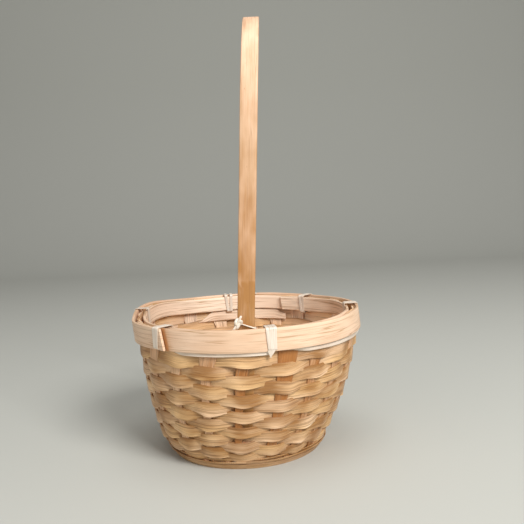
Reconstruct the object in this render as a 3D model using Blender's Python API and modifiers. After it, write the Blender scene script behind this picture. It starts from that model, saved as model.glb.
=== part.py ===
"""A round splint basket with a fixed hoop handle.

Long flat bamboo splints cross in a square mat, fan out over the round floor and turn up as
stakes. One splint after another winds round the odd number of stakes in a rising spiral, so
each turn passes outside the stakes that the turn below it passed inside. Two broad hoops
clamp the stakes at the rim, white binding holds the hoops together, and a bent strip pushed
down beside two stakes is the handle. The basket stands on a splint hoop round its foot.

Angles are in degrees, from the front (-Y) towards the right (+X).
"""

import math

import bmesh
import bpy
from mathutils import Vector

# Rim
RIM_RADIUS = 0.0800
RIM_HEIGHT = 0.0970
HOOP_HEIGHT = 0.0130
HOOP_THICKNESS = 0.0018
HOOP_EDGE_ROUND = 0.0004
RIM_WEAVER_DROP = 0.0010
INNER_HOOP_HEIGHT = 0.0110
INNER_HOOP_DROP = 0.0012
RIM_WARP = 0.0020
STAKE_REVEAL = 0.0012
OUTER_LAP_END = -39.0
OUTER_LAP_ANGLE = 24.0
INNER_LAP_END = 157.0
INNER_LAP_ANGLE = 26.0
LAP_RAMP_ANGLE = 30.0

# Wall and floor, measured to the middle of the stakes
FLOOR_RADIUS = 0.0533
WALL_BULGE = 0.0043
WALL_BULGE_LOW_SHARE = 0.3
FLOOR_LEVEL = 0.0020
CORNER_RADIUS = 0.0040
FLOOR_SHIFT = -0.0034

# Stakes
STAKE_COUNT = 21
STAKE_THICKNESS = 0.0012
STAKE_WIDTH_TOP = 0.0118
STAKE_WIDTH_FLOOR = 0.0090
EXTRA_STAKE_FLOOR_LENGTH = 0.0133

# Mat of crossing splints in the middle of the floor
MAT_SPACING = 0.0110
MAT_BEND_ROOM = 0.0003

# Wall weaving
WEAVER_THICKNESS = 0.0007
WEAVER_WIDTH = 0.0070
WEAVER_WAIST = 0.0043
WEAVER_COUNT = 12
WEAVE_FIRST = -9
WEAVE_LAST = 253
WEAVER_END_GAP = 0.0004
WEAVE_TOP_GAP = 0.0016
ROW_TILT = 0.0026
ROW_LOW_SIDE_ANGLE = -15.0
ROW_TILT_START_SHARE = 0.2
ROW_TILT_END_SHARE = 0.04
STAKE_SIDE_ROOM = 0.0004

# Floor weaving
FLOOR_WEAVER_INSET = 0.0065
FLOOR_WEAVER_WIDTH = 0.0042
FLOOR_STAKE_SIDE_ROOM = 0.0012

# Foot
FOOT_HEIGHT = 0.0044
FOOT_THICKNESS = 0.0012
FOOT_FLARE = 0.0028

# Handle
HANDLE_HEIGHT = 0.2975
HANDLE_WIDTH = 0.0106
HANDLE_THICKNESS = 0.0018
HANDLE_SIDE_AT_RIM = 0.0010
HANDLE_LEAN = 0.0131
HANDLE_FOOT_LEVEL = 0.0300
HANDLE_FRONT_STAKE = 0
HANDLE_BACK_STAKE = 11

# White binding
TIE_WIDTH = 0.0062
TIE_THICKNESS = 0.0005
TIE_CORNER = 0.0008
BINDER_HEIGHT = 0.0028
BINDER_THICKNESS = 0.0005

# Lashing of each handle leg above the rim
LASH_RADIUS = 0.0005
LASH_HEIGHT = 0.0020
LASH_TILT = 0.0020
KNOT_RADIUS = 0.0023
KNOT_LENGTH_SHARE = 1.5
KNOT_FLAT_SHARE = 0.7
KNOT_SIDE_SHARE = 0.8
TAIL_WAYS = [(0.4, 0.2, 1.0), (-1.0, 0.15, -0.35)]
TAIL_LENGTH = 0.0045
TAIL_RADIUS = 0.0008

# Clearance between pieces that touch on the real basket
FIT_GAP = 0.0003

# How far each stake stands from even spacing, as a share of that spacing
STAKE_SHIFT_SHARES = [
    -0.04, 0.14, 0.10, 0.03, 0.00, -0.07, -0.12, -0.18, -0.25, -0.33, -0.45,
    -0.56, -0.36, -0.22, -0.19, -0.16, -0.13, -0.11, -0.09, -0.08, -0.06,
]
# Stakes that are the two ends of one splint, in the order of the mat's lanes
FRONT_BACK_PAIRS = [(19, 13), (20, 12), (0, 11), (1, 10), (2, 9)]
RIGHT_LEFT_PAIRS = [(3, 18), (4, 17), (5, 16), (7, 15), (8, 14)]
EXTRA_STAKE = 6
# Each tie passes through the wall between two stakes
TIE_ANGLES = [11.9, 92.9, 141.0, 192.3, 263.0, 316.0]

# Steps along curved stretches
CORNER_STEPS = 4
FAN_STEPS = 4
WALL_STEPS = 9
WALL_STEP_GROWTH_SHARE = 1.3
HOOP_STEP_ANGLE = 5.0
HANDLE_ARC_STEPS = 22
HANDLE_LEG_STEPS = 5
TIE_CORNER_STEPS = 2
LASH_SIDES = 2
KNOT_SEGMENTS = 10
KNOT_RINGS = 7

# Places that follow from the sizes
HOOP_BOTTOM = RIM_HEIGHT - HOOP_HEIGHT
HALF_STAKE = STAKE_THICKNESS / 2
STAKE_FLAT_ROOM = STAKE_WIDTH_TOP**2 / (8 * RIM_RADIUS)
OUTER_PACK = HOOP_THICKNESS + 2 * FIT_GAP + WEAVER_THICKNESS + STAKE_FLAT_ROOM
STAKE_RIM_RADIUS = RIM_RADIUS - OUTER_PACK - HALF_STAKE
WEAVER_OFFSET = HALF_STAKE + FIT_GAP + WEAVER_THICKNESS / 2
LEG_OFFSET = HALF_STAKE + FIT_GAP + HANDLE_THICKNESS / 2
LEG_WEAVER_OFFSET = WEAVER_OFFSET + HANDLE_THICKNESS + FIT_GAP
INNER_HOOP_TOP = RIM_HEIGHT - INNER_HOOP_DROP
INNER_HOOP_BOTTOM = INNER_HOOP_TOP - INNER_HOOP_HEIGHT
INNER_HOOP_RADIUS = STAKE_RIM_RADIUS - LEG_OFFSET - HANDLE_THICKNESS / 2 - FIT_GAP - HOOP_THICKNESS / 2
OUTER_HOOP_RADIUS = RIM_RADIUS - HOOP_THICKNESS / 2
WALL_RISE_SLOPE = 4 * WALL_BULGE * (1 + WALL_BULGE_LOW_SHARE) / HOOP_BOTTOM
WALL_FOOT_ANGLE = math.atan2(
    HOOP_BOTTOM, STAKE_RIM_RADIUS - FLOOR_RADIUS + WALL_RISE_SLOPE * HOOP_BOTTOM
)
WALL_FOOT_LEVEL = FLOOR_LEVEL + CORNER_RADIUS * (1 - math.cos(WALL_FOOT_ANGLE))
CORNER_START_RADIUS = FLOOR_RADIUS - CORNER_RADIUS * math.sin(WALL_FOOT_ANGLE)
FLOOR_WEAVER_RADIUS = FLOOR_RADIUS - FLOOR_WEAVER_INSET
EXTRA_STAKE_START = FLOOR_RADIUS - EXTRA_STAKE_FLOOR_LENGTH
MAT_HALF = 2 * MAT_SPACING + STAKE_WIDTH_FLOOR / 2 + MAT_BEND_ROOM
STAKE_TOP = RIM_HEIGHT - STAKE_REVEAL
WEAVE_START = FOOT_HEIGHT + FIT_GAP + WEAVER_WIDTH / 2
WEAVE_END = HOOP_BOTTOM - WEAVE_TOP_GAP - WEAVER_WIDTH / 2

BAMBOO_PALE = (0.84, 0.62, 0.44)
BAMBOO_TAN = (0.58, 0.36, 0.17)
BAMBOO_BROWN = (0.50, 0.24, 0.07)
BAMBOO_HANDLE = (0.66, 0.40, 0.19)
BINDING_WHITE = (0.83, 0.80, 0.74)


def clear_scene():
    for old in list(bpy.data.objects):
        bpy.data.objects.remove(old, do_unlink=True)


def make_material(name, colour, roughness):
    """A plain Principled finish in the piece's own colour."""
    material = bpy.data.materials.new(name)
    material.use_nodes = True
    shader = material.node_tree.nodes["Principled BSDF"]
    shader.inputs["Base Color"].default_value = (*colour, 1)
    shader.inputs["Roughness"].default_value = roughness
    shader.inputs["Metallic"].default_value = 0
    return material


def stake_angle(stake):
    """Angle of a stake; it goes on past a full turn for stakes counted along the spiral."""
    turn, index = divmod(stake, STAKE_COUNT)
    spacing = 360 / STAKE_COUNT
    return 360 * turn + spacing * (index + STAKE_SHIFT_SHARES[index])


def outward(angle):
    turned = math.radians(angle)
    return Vector((math.sin(turned), -math.cos(turned), 0))


def sideways(angle):
    turned = math.radians(angle)
    return Vector((math.cos(turned), math.sin(turned), 0))


def axis_at(level):
    """The basket's middle at a level: the floor sits a little to the left of the rim."""
    return Vector((FLOOR_SHIFT * max(0, 1 - level / HOOP_BOTTOM), 0, level))


def wall_radius(level):
    """A straight slant from floor to rim plus an outward bow, fuller low down; upright in the rim."""
    share = (level - WALL_FOOT_LEVEL) / (HOOP_BOTTOM - WALL_FOOT_LEVEL)
    share = min(max(share, 0), 1)
    slant = FLOOR_RADIUS + (STAKE_RIM_RADIUS - FLOOR_RADIUS) * share
    bow = 4 * WALL_BULGE * share * (1 - share)
    return slant + bow * (1 + WALL_BULGE_LOW_SHARE * (1 - 2 * share))


def wall_slope(level):
    """How fast the wall's radius grows with height."""
    if level >= HOOP_BOTTOM:
        return 0
    step = CORNER_RADIUS
    low = max(level - step, WALL_FOOT_LEVEL)
    high = min(level + step, HOOP_BOTTOM)
    return (wall_radius(high) - wall_radius(low)) / (high - low)


def wall_frame(angle, level):
    """Point on the wall's middle surface, its outward normal and the way up along it."""
    out = outward(angle)
    slope = wall_slope(level)
    point = axis_at(level) + out * wall_radius(level)
    normal = (out - Vector((0, 0, slope))).normalized()
    up = (out * slope + Vector((0, 0, 1))).normalized()
    return point, normal, up


def stake_width(level):
    share = min(max(level / HOOP_BOTTOM, 0), 1)
    return STAKE_WIDTH_FLOOR + (STAKE_WIDTH_TOP - STAKE_WIDTH_FLOOR) * share


def ribbon(name, edges, thickness, material, closed=False, edge_round=0):
    """A flat strip: its two long edges are pairs of points, and Solidify gives its thickness."""
    points = [point for pair in edges for point in pair]
    count = len(edges)
    last = count if closed else count - 1
    faces = []
    for i in range(last):
        j = (i + 1) % count
        faces.append((2 * i, 2 * j, 2 * j + 1, 2 * i + 1))
    mesh = bpy.data.meshes.new(name)
    mesh.from_pydata([tuple(point) for point in points], [], faces)
    strip = bpy.data.objects.new(name, mesh)
    parts.objects.link(strip)
    mesh.materials.append(material)
    solid = strip.modifiers.new("thickness", "SOLIDIFY")
    solid.thickness = thickness
    solid.offset = 0
    solid.use_even_offset = True
    if edge_round:
        bevel = strip.modifiers.new("rounded edges", "BEVEL")
        bevel.width = edge_round
        bevel.segments = 1
        bevel.limit_method = "ANGLE"
        bevel.angle_limit = math.radians(60)
    mesh.shade_smooth()
    mesh.set_sharp_from_angle(angle=math.radians(40))
    return strip


def stake_wall_edges(stake):
    """The stake's edges from the floor's corner, round the bend and up to the rim."""
    angle = stake_angle(stake)
    side = sideways(angle)
    out = outward(angle)
    edges = []
    for step in range(CORNER_STEPS):
        bend = WALL_FOOT_ANGLE * step / CORNER_STEPS
        level = FLOOR_LEVEL + CORNER_RADIUS * (1 - math.cos(bend))
        radius = CORNER_START_RADIUS + CORNER_RADIUS * math.sin(bend)
        middle = axis_at(0) + out * radius
        middle.z = level
        edges.append(across(middle, side, STAKE_WIDTH_FLOOR))
    for step in range(WALL_STEPS + 1):
        share = (step / WALL_STEPS) ** WALL_STEP_GROWTH_SHARE
        level = WALL_FOOT_LEVEL + (HOOP_BOTTOM - WALL_FOOT_LEVEL) * share
        point, _, _ = wall_frame(angle, level)
        edges.append(across(point, side, stake_width(level)))
    top = axis_at(STAKE_TOP) + out * STAKE_RIM_RADIUS
    edges.append(across(top, side, STAKE_WIDTH_TOP))
    return edges


def across(middle, side, width):
    return (middle - side * width / 2, middle + side * width / 2)


def fan_point(start, heading, end, arrival, share):
    """A smooth plan curve that leaves the mat straight and reaches the corner square to it."""
    reach = (end - start).length
    keep = 1 - share
    first = start + heading * reach / 3
    second = end - arrival * reach / 3
    point = keep**3 * start + 3 * keep**2 * share * first
    point += 3 * keep * share**2 * second + share**3 * end
    way = keep**2 * (first - start) + 2 * keep * share * (second - first)
    way += share**2 * (end - second)
    return point, way.normalized()


def fan_curve(lane_offset, lane_way, stake, share):
    """Where a floor splint lies between the mat and the corner, and which way it runs."""
    lane_side = Vector((-lane_way.y, lane_way.x, 0))
    start = axis_at(0) + lane_side * lane_offset + lane_way * MAT_HALF
    end = axis_at(0) + outward(stake_angle(stake)) * CORNER_START_RADIUS
    return fan_point(start, lane_way, end, outward(stake_angle(stake)), share)


def fan_edges(lane_offset, lane_way, stake):
    """Edges of the flat stretch between mat and corner, from the mat outwards."""
    edges = []
    for step in range(FAN_STEPS):
        point, way = fan_curve(lane_offset, lane_way, stake, step / FAN_STEPS)
        point.z = FLOOR_LEVEL
        side = Vector((-way.y, way.x, 0))
        edges.append(across(point, side, STAKE_WIDTH_FLOOR))
    return edges


def mat_edges(lane_offset, lane_way, lane, first_up):
    """Edges over the mat: level across each crossing splint, stepping between them."""
    lane_side = Vector((-lane_way.y, lane_way.x, 0))
    lift = HALF_STAKE + FIT_GAP / 2
    reach = STAKE_WIDTH_FLOOR / 2 + MAT_BEND_ROOM
    edges = []
    for crossing in range(-2, 3):
        up = (crossing + lane + first_up) % 2 == 0
        for end in (-reach, reach):
            along = crossing * MAT_SPACING + end
            middle = axis_at(0) + lane_side * lane_offset + lane_way * along
            middle.z = FLOOR_LEVEL + (lift if up else -lift)
            edges.append(across(middle, lane_side, STAKE_WIDTH_FLOOR))
    return edges


def same_hand(edges):
    """Swaps the two edges of a stretch that was written from its other end."""
    return [(b, a) for a, b in edges]


def through_splint(name, pair, lane, lane_way, first_up):
    """One long splint: up the wall, across the mat and up the opposite wall."""
    near, far = pair
    offset = (lane - 2) * MAT_SPACING
    near_fan = fan_edges(-offset, -lane_way, near)
    far_fan = fan_edges(offset, lane_way, far)
    middle = mat_edges(offset, lane_way, lane, first_up)
    near_end = near_fan + stake_wall_edges(near)
    far_end = far_fan + stake_wall_edges(far)
    edges = same_hand(near_end[::-1][:-1]) + middle + far_end[1:]
    ribbon(name, edges, STAKE_THICKNESS, brown)


def make_splints():
    back = Vector((0, 1, 0))
    left = Vector((-1, 0, 0))
    for lane, pair in enumerate(FRONT_BACK_PAIRS):
        number = lane + 1
        through_splint(f"front_back_splint_{number}", pair, 4 - lane, back, 0)
    for lane, pair in enumerate(RIGHT_LEFT_PAIRS):
        number = lane + 1
        through_splint(f"side_splint_{number}", pair, 4 - lane, left, 1)
    angle = stake_angle(EXTRA_STAKE)
    start = axis_at(0) + outward(angle) * EXTRA_STAKE_START
    start.z = FLOOR_LEVEL
    edges = [across(start, sideways(angle), STAKE_WIDTH_FLOOR)]
    ribbon("extra_stake", edges + stake_wall_edges(EXTRA_STAKE), STAKE_THICKNESS, brown)


def leg_beside(stake, level):
    """True where a handle leg lies between this stake and the weaving."""
    held = stake % STAKE_COUNT in (HANDLE_FRONT_STAKE, HANDLE_BACK_STAKE)
    return held and level > HANDLE_FOOT_LEVEL - WEAVER_WIDTH


def weave_level(angle):
    start = stake_angle(WEAVE_FIRST)
    share = (angle - start) / (stake_angle(WEAVE_LAST) - start)
    tilt = ROW_TILT * min(share / ROW_TILT_START_SHARE, 1, (1 - share) / ROW_TILT_END_SHARE)
    lowered = tilt * math.cos(math.radians(angle - ROW_LOW_SIDE_ANGLE))
    return WEAVE_START + (WEAVE_END - WEAVE_START) * share - lowered


def crossing_points(crossing):
    """Where a weaver comes onto a stake and leaves it, and the way up there."""
    angle = stake_angle(crossing)
    level = weave_level(angle)
    offset = WEAVER_OFFSET
    if crossing % 2:
        offset = -(LEG_WEAVER_OFFSET if leg_beside(crossing, level) else WEAVER_OFFSET)
    reach = stake_width(level) / 2 + STAKE_SIDE_ROOM
    turned = math.degrees(reach / wall_radius(level))
    ends = []
    for side in (-1, 1):
        point, normal, up = wall_frame(angle, weave_level(angle + turned * side))
        ends.append(point + normal * offset + sideways(angle) * reach * side)
    return ends[0], ends[1], up


def weaver_edges(first, last):
    """Edges of a weaver from one crossing to another, waisted where it changes side."""
    edges = []
    for crossing in range(first, last + 1):
        entry, leave, up = crossing_points(crossing)
        middle = (entry + leave) / 2
        way = (leave - entry).normalized()
        if crossing == first:
            entry = middle + way * WEAVER_END_GAP / 2
        if crossing == last:
            leave = middle - way * WEAVER_END_GAP / 2
        edges.append(across(entry, up, WEAVER_WIDTH))
        edges.append(across(leave, up, WEAVER_WIDTH))
        if crossing < last:
            follow, _, follow_up = crossing_points(crossing + 1)
            mean_up = (up + follow_up).normalized()
            edges.append(across((leave + follow) / 2, mean_up, WEAVER_WAIST))
    return edges


def make_weavers():
    """The spiral is cut into splints that meet behind a stake, on the inside."""
    pairs = (WEAVE_LAST - WEAVE_FIRST) / 2
    cuts = []
    for piece in range(WEAVER_COUNT + 1):
        cuts.append(WEAVE_FIRST + 2 * round(pairs * piece / WEAVER_COUNT))
    for piece in range(WEAVER_COUNT):
        edges = weaver_edges(cuts[piece], cuts[piece + 1])
        ribbon(f"wall_weaver_{piece + 1}", edges, WEAVER_THICKNESS, tan)


def floor_stations():
    """Where each stake's floor stretch crosses the floor weaver, with its direction."""
    stations = {}
    back = Vector((0, 1, 0))
    left = Vector((-1, 0, 0))
    lanes = [(FRONT_BACK_PAIRS, back), (RIGHT_LEFT_PAIRS, left)]
    for pairs, way in lanes:
        for lane, (near, far) in enumerate(pairs):
            offset = (2 - lane) * MAT_SPACING
            stations[near] = crossing_at_radius(-offset, -way, near)
            stations[far] = crossing_at_radius(offset, way, far)
    stations[EXTRA_STAKE] = stake_angle(EXTRA_STAKE)
    return stations


def crossing_at_radius(offset, way, stake):
    """Angle at which the fanned splint reaches the floor weaver's circle."""
    low, high = 0, 1
    for _ in range(30):
        share = (low + high) / 2
        point, _ = fan_curve(offset, way, stake, share)
        flat = point - axis_at(0)
        if flat.length < FLOOR_WEAVER_RADIUS:
            low = share
        else:
            high = share
    angle = math.degrees(math.atan2(flat.x, -flat.y))
    return angle + 360 * round((stake_angle(stake) - angle) / 360)


def make_floor_weaver():
    """A splint laid flat round the floor, over one stake and under the next."""
    stations = floor_stations()
    reach = STAKE_WIDTH_FLOOR / 2 + FLOOR_STAKE_SIDE_ROOM
    edges = []
    for stake in range(STAKE_COUNT):
        angle = stations[stake]
        lift = WEAVER_OFFSET if stake % 2 else -WEAVER_OFFSET
        spot = axis_at(0) + outward(angle) * FLOOR_WEAVER_RADIUS
        spot.z = FLOOR_LEVEL + lift
        for end in (-reach, reach):
            middle = spot + sideways(angle) * end
            edges.append(across(middle, outward(angle), FLOOR_WEAVER_WIDTH))
    ribbon("floor_weaver", edges, WEAVER_THICKNESS, tan)


def rim_lift(angle):
    """The rim springs out of flat: up at the back on the left, down at the back on the right."""
    turned = math.radians(angle)
    return 2 * RIM_WARP * math.sin(turned) * min(0, math.cos(turned))


def hoop_edges(radius, start, turn, lap_shift, level, height):
    """A hoop bent from one strip: its last stretch climbs onto its own beginning."""
    steps = round(abs(turn) / HOOP_STEP_ANGLE)
    edges = []
    for step in range(steps + 1):
        travelled = abs(turn) * step / steps
        climb_start = 360 - LAP_RAMP_ANGLE
        share = min(max((travelled - climb_start) / LAP_RAMP_ANGLE, 0), 1)
        eased = share * share * (3 - 2 * share)
        angle = start + math.copysign(travelled, turn)
        low = outward(angle) * (radius + lap_shift * eased)
        low.z = level + rim_lift(angle)
        edges.append((low, low + Vector((0, 0, height))))
    return edges


def make_hoops():
    lap = HOOP_THICKNESS + FIT_GAP
    outer_start = OUTER_LAP_END + OUTER_LAP_ANGLE
    edges = hoop_edges(
        OUTER_HOOP_RADIUS, outer_start, -(360 + OUTER_LAP_ANGLE), lap,
        HOOP_BOTTOM, HOOP_HEIGHT,
    )
    ribbon("outer_hoop", edges, HOOP_THICKNESS, pale, edge_round=HOOP_EDGE_ROUND)
    inner_start = INNER_LAP_END - INNER_LAP_ANGLE
    edges = hoop_edges(
        INNER_HOOP_RADIUS, inner_start, 360 + INNER_LAP_ANGLE, -lap,
        INNER_HOOP_BOTTOM, INNER_HOOP_HEIGHT,
    )
    ribbon("inner_hoop", edges, HOOP_THICKNESS, pale, edge_round=HOOP_EDGE_ROUND)


def make_foot_hoop():
    """A turned ring with level edges that flares with the foot of the wall."""
    flare = math.atan2(FOOT_FLARE, FOOT_HEIGHT)
    room = CORNER_RADIUS + HALF_STAKE + FIT_GAP + STAKE_WIDTH_FLOOR**2 / (8 * FLOOR_RADIUS)
    below_centre = FLOOR_LEVEL + CORNER_RADIUS - FOOT_HEIGHT
    top = CORNER_START_RADIUS
    top += (room - below_centre * math.sin(flare)) / math.cos(flare)
    bottom = top - FOOT_FLARE
    profile = [
        (top + FOOT_THICKNESS, FOOT_HEIGHT),
        (bottom + FOOT_THICKNESS, 0),
        (bottom, 0),
        (top, FOOT_HEIGHT),
    ]
    mesh = bpy.data.meshes.new("foot_hoop")
    loop = [(i, (i + 1) % len(profile)) for i in range(len(profile))]
    mesh.from_pydata([(radius, 0, level) for radius, level in profile], loop, [])
    ring = bpy.data.objects.new("foot_hoop", mesh)
    ring.location = axis_at(0)
    parts.objects.link(ring)
    mesh.materials.append(tan)
    turn = ring.modifiers.new("turned", "SCREW")
    turn.steps = round(360 / HOOP_STEP_ANGLE)
    turn.render_steps = turn.steps
    turn.use_merge_vertices = True
    turn.merge_threshold = FIT_GAP / 10
    mesh.shade_smooth()
    mesh.set_sharp_from_angle(angle=math.radians(40))


def make_rim_weaver():
    """A broad splint woven round the stake tops between the hoops, outside both handle legs."""
    low = HOOP_BOTTOM + FIT_GAP + RIM_WARP
    high = RIM_HEIGHT - RIM_WEAVER_DROP
    reach = STAKE_WIDTH_TOP / 2 + STAKE_SIDE_ROOM
    edges = []
    for stake in range(1, STAKE_COUNT + 1):
        angle = stake_angle(stake)
        offset = WEAVER_OFFSET if stake % 2 else -WEAVER_OFFSET
        spot = outward(angle) * (STAKE_RIM_RADIUS + offset)
        for end in (-reach, reach):
            foot = spot + sideways(angle) * end
            foot.z = low + rim_lift(angle + math.degrees(end / STAKE_RIM_RADIUS))
            edges.append((foot, foot + Vector((0, 0, high - low))))
    ribbon("rim_weaver", edges, WEAVER_THICKNESS, tan)


def handle_line(stake):
    """Points of a leg's middle line below the rim, from its foot up."""
    angle = stake_angle(stake)
    side = sideways(0)
    points = []
    for step in range(HANDLE_LEG_STEPS + 1):
        level = HANDLE_FOOT_LEVEL + (HOOP_BOTTOM - HANDLE_FOOT_LEVEL) * step / HANDLE_LEG_STEPS
        point, normal, _ = wall_frame(angle, level)
        share = step / HANDLE_LEG_STEPS
        spot = point - normal * LEG_OFFSET
        spot += side * (HANDLE_SIDE_AT_RIM - spot.x) * share**2
        points.append(spot)
    return points


def make_handle():
    """Two upright legs and a half-circle over them, all leaning a little to the right."""
    leg_radius = STAKE_RIM_RADIUS - LEG_OFFSET
    spring_level = HANDLE_HEIGHT - HANDLE_THICKNESS / 2 - leg_radius
    lean = HANDLE_LEAN / (HANDLE_HEIGHT - HOOP_BOTTOM)
    line = handle_line(HANDLE_FRONT_STAKE)
    for step in range(HANDLE_ARC_STEPS + 1):
        bend = math.pi * step / HANDLE_ARC_STEPS
        level = spring_level + leg_radius * math.sin(bend)
        side = HANDLE_SIDE_AT_RIM + lean * (level - HOOP_BOTTOM)
        line.append(Vector((side, -leg_radius * math.cos(bend), level)))
    line += handle_line(HANDLE_BACK_STAKE)[::-1]
    side = Vector((1, 0, 0))
    edges = [across(point, side, HANDLE_WIDTH) for point in line]
    ribbon("handle", edges, HANDLE_THICKNESS, handle_brown, edge_round=HOOP_EDGE_ROUND)


def lap_shift_at(angle):
    """How far the outer hoop's overlapping end stands out at an angle."""
    start = OUTER_LAP_END + OUTER_LAP_ANGLE
    travelled = (start - angle) % 360
    share = min(max((travelled - 360 + LAP_RAMP_ANGLE) / LAP_RAMP_ANGLE, 0), 1)
    return (HOOP_THICKNESS + FIT_GAP) * share * share * (3 - 2 * share)


def tie_loop(inner, outer):
    """A rounded loop round the rim's section, as pairs of radius and level."""
    wrap = FIT_GAP + TIE_THICKNESS / 2
    corners = [
        (outer - TIE_CORNER, RIM_HEIGHT + wrap - TIE_CORNER, 0),
        (inner + TIE_CORNER, INNER_HOOP_TOP + wrap - TIE_CORNER, 90),
        (inner + TIE_CORNER, INNER_HOOP_BOTTOM - wrap + TIE_CORNER, 180),
        (outer - TIE_CORNER, HOOP_BOTTOM - wrap + TIE_CORNER, 270),
    ]
    loop = []
    for radius, level, start in corners:
        for step in range(TIE_CORNER_STEPS + 1):
            turned = math.radians(start + 90 * step / TIE_CORNER_STEPS)
            loop.append(
                (radius + TIE_CORNER * math.cos(turned), level + TIE_CORNER * math.sin(turned))
            )
    return loop


def tie_way(angle):
    """Along the rim at a tie, level or following the rim's slant."""
    step = 1
    rise = rim_lift(angle + step) - rim_lift(angle - step)
    run = sideways(angle) * 2 * RIM_RADIUS * math.radians(step)
    return (run + Vector((0, 0, rise))).normalized()


def make_ties():
    wrap = FIT_GAP + TIE_THICKNESS / 2
    flat_room = TIE_WIDTH**2 / (8 * INNER_HOOP_RADIUS)
    for number, angle in enumerate(TIE_ANGLES, start=1):
        inner = INNER_HOOP_RADIUS - HOOP_THICKNESS / 2 - wrap - inner_lap_at(angle)
        outer = RIM_RADIUS + wrap + lap_shift_at(angle)
        edges = []
        for radius, level in tie_loop(inner - flat_room, outer):
            spot = outward(angle) * radius
            spot.z = level + rim_lift(angle)
            edges.append(across(spot, tie_way(angle), TIE_WIDTH))
        ribbon(f"rim_tie_{number}", edges, TIE_THICKNESS, white, closed=True)


def inner_lap_at(angle):
    """How far the inner hoop's overlapping end stands in at an angle."""
    start = INNER_LAP_END - INNER_LAP_ANGLE
    travelled = (angle - start) % 360
    if angle_between(start, INNER_LAP_END, angle):
        return HOOP_THICKNESS + FIT_GAP
    share = min(max((travelled - 360 + LAP_RAMP_ANGLE) / LAP_RAMP_ANGLE, 0), 1)
    return (HOOP_THICKNESS + FIT_GAP) * share * share * (3 - 2 * share)


def angle_between(low, high, angle):
    return (angle - low) % 360 <= (high - low) % 360


def make_binder_runs():
    """White strip running under the outer hoop from each tie to the next."""
    level = HOOP_BOTTOM - FIT_GAP - BINDER_HEIGHT
    offset = WEAVER_OFFSET + WEAVER_THICKNESS / 2 + FIT_GAP + BINDER_THICKNESS / 2
    radius = STAKE_RIM_RADIUS + offset
    clear = math.degrees((TIE_WIDTH / 2 + FIT_GAP) / radius)
    for number, angle in enumerate(TIE_ANGLES, start=1):
        start = angle + clear
        end = TIE_ANGLES[number % len(TIE_ANGLES)] - clear
        end += 360 if end < start else 0
        edges = hoop_edges(radius, start, end - start, 0, level, BINDER_HEIGHT)
        ribbon(f"binder_run_{number}", edges, BINDER_THICKNESS, white)


def tube(name, points, radius, closed):
    """A round cord along points."""
    curve = bpy.data.curves.new(name, "CURVE")
    curve.dimensions = "3D"
    curve.bevel_depth = radius
    curve.bevel_resolution = LASH_SIDES
    curve.use_fill_caps = not closed
    spline = curve.splines.new("POLY")
    spline.points.add(len(points) - 1)
    for place, point in zip(spline.points, points):
        place.co = (*point, 1)
    spline.use_cyclic_u = closed
    cord = bpy.data.objects.new(name, curve)
    parts.objects.link(cord)
    return cord


def curve_to_mesh(cord):
    """The curve's own shape as a mesh whose caps are welded on."""
    bpy.context.view_layer.update()
    shaped = cord.evaluated_get(bpy.context.evaluated_depsgraph_get())
    mesh = bpy.data.meshes.new_from_object(shaped)
    work = bmesh.new()
    work.from_mesh(mesh)
    bmesh.ops.remove_doubles(work, verts=work.verts, dist=FIT_GAP / 100)
    work.to_mesh(mesh)
    work.free()
    name = cord.name
    bpy.data.objects.remove(cord, do_unlink=True)
    solid = bpy.data.objects.new(name, mesh)
    parts.objects.link(solid)
    return solid


def unite(body, other):
    """Joins another object into a body with a Boolean, and puts the other with the cutters."""
    parts.objects.unlink(other)
    cutters.objects.link(other)
    other.hide_render = True
    other.display_type = "WIRE"
    join = body.modifiers.new("joined", "BOOLEAN")
    join.operation = "UNION"
    join.object = other


def make_lashing(name, facing):
    """A tilted cord round a leg just above the rim, with a knot and two short tails."""
    lean = HANDLE_LEAN / (HANDLE_HEIGHT - HOOP_BOTTOM)
    level = RIM_HEIGHT + LASH_HEIGHT
    half_width = HANDLE_WIDTH / 2 + FIT_GAP + LASH_RADIUS
    half_depth = HANDLE_THICKNESS / 2 + FIT_GAP + LASH_RADIUS
    leg_radius = STAKE_RIM_RADIUS - LEG_OFFSET
    side = HANDLE_SIDE_AT_RIM + lean * (level - HOOP_BOTTOM)
    middle = Vector((side, -leg_radius * facing, level))
    right = Vector((1, 0, 0))
    out = Vector((0, -facing, 0))
    drop = Vector((0, 0, LASH_TILT))
    soft = LASH_RADIUS * 2
    loop = []
    for across_sign, out_sign in ((-1, 1), (1, 1), (1, -1), (-1, -1)):
        corner = middle + right * half_width * across_sign + out * half_depth * out_sign
        corner -= drop * across_sign
        inward_x = -right * soft * across_sign
        inward_y = -out * soft / 2 * out_sign
        pair = [corner + inward_y, corner + inward_x]
        loop += pair if across_sign * out_sign < 0 else pair[::-1]
    cord = curve_to_mesh(tube(name, loop, LASH_RADIUS, True))
    knot_at = middle - right * half_width * KNOT_SIDE_SHARE + out * half_depth
    knot_at += drop * KNOT_SIDE_SHARE + out * KNOT_RADIUS / 2
    bpy.ops.mesh.primitive_uv_sphere_add(
        segments=KNOT_SEGMENTS, ring_count=KNOT_RINGS, radius=KNOT_RADIUS, location=knot_at
    )
    knot = bpy.context.object
    knot.name = name + "_knot"
    knot.scale = (1, KNOT_FLAT_SHARE, KNOT_LENGTH_SHARE)
    adopt(knot)
    tails = []
    for number, way in enumerate(TAIL_WAYS):
        direction = Vector((way[0], -facing * way[1], way[2])).normalized()
        tip = knot_at + direction * (KNOT_RADIUS + TAIL_LENGTH)
        tail = curve_to_mesh(tube(f"{name}_tail_{number}", [knot_at, tip], TAIL_RADIUS, False))
        tails.append(tail)
    for piece in [knot] + tails:
        unite(cord, piece)
    cord.data.materials.clear()
    cord.data.materials.append(white)


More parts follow.
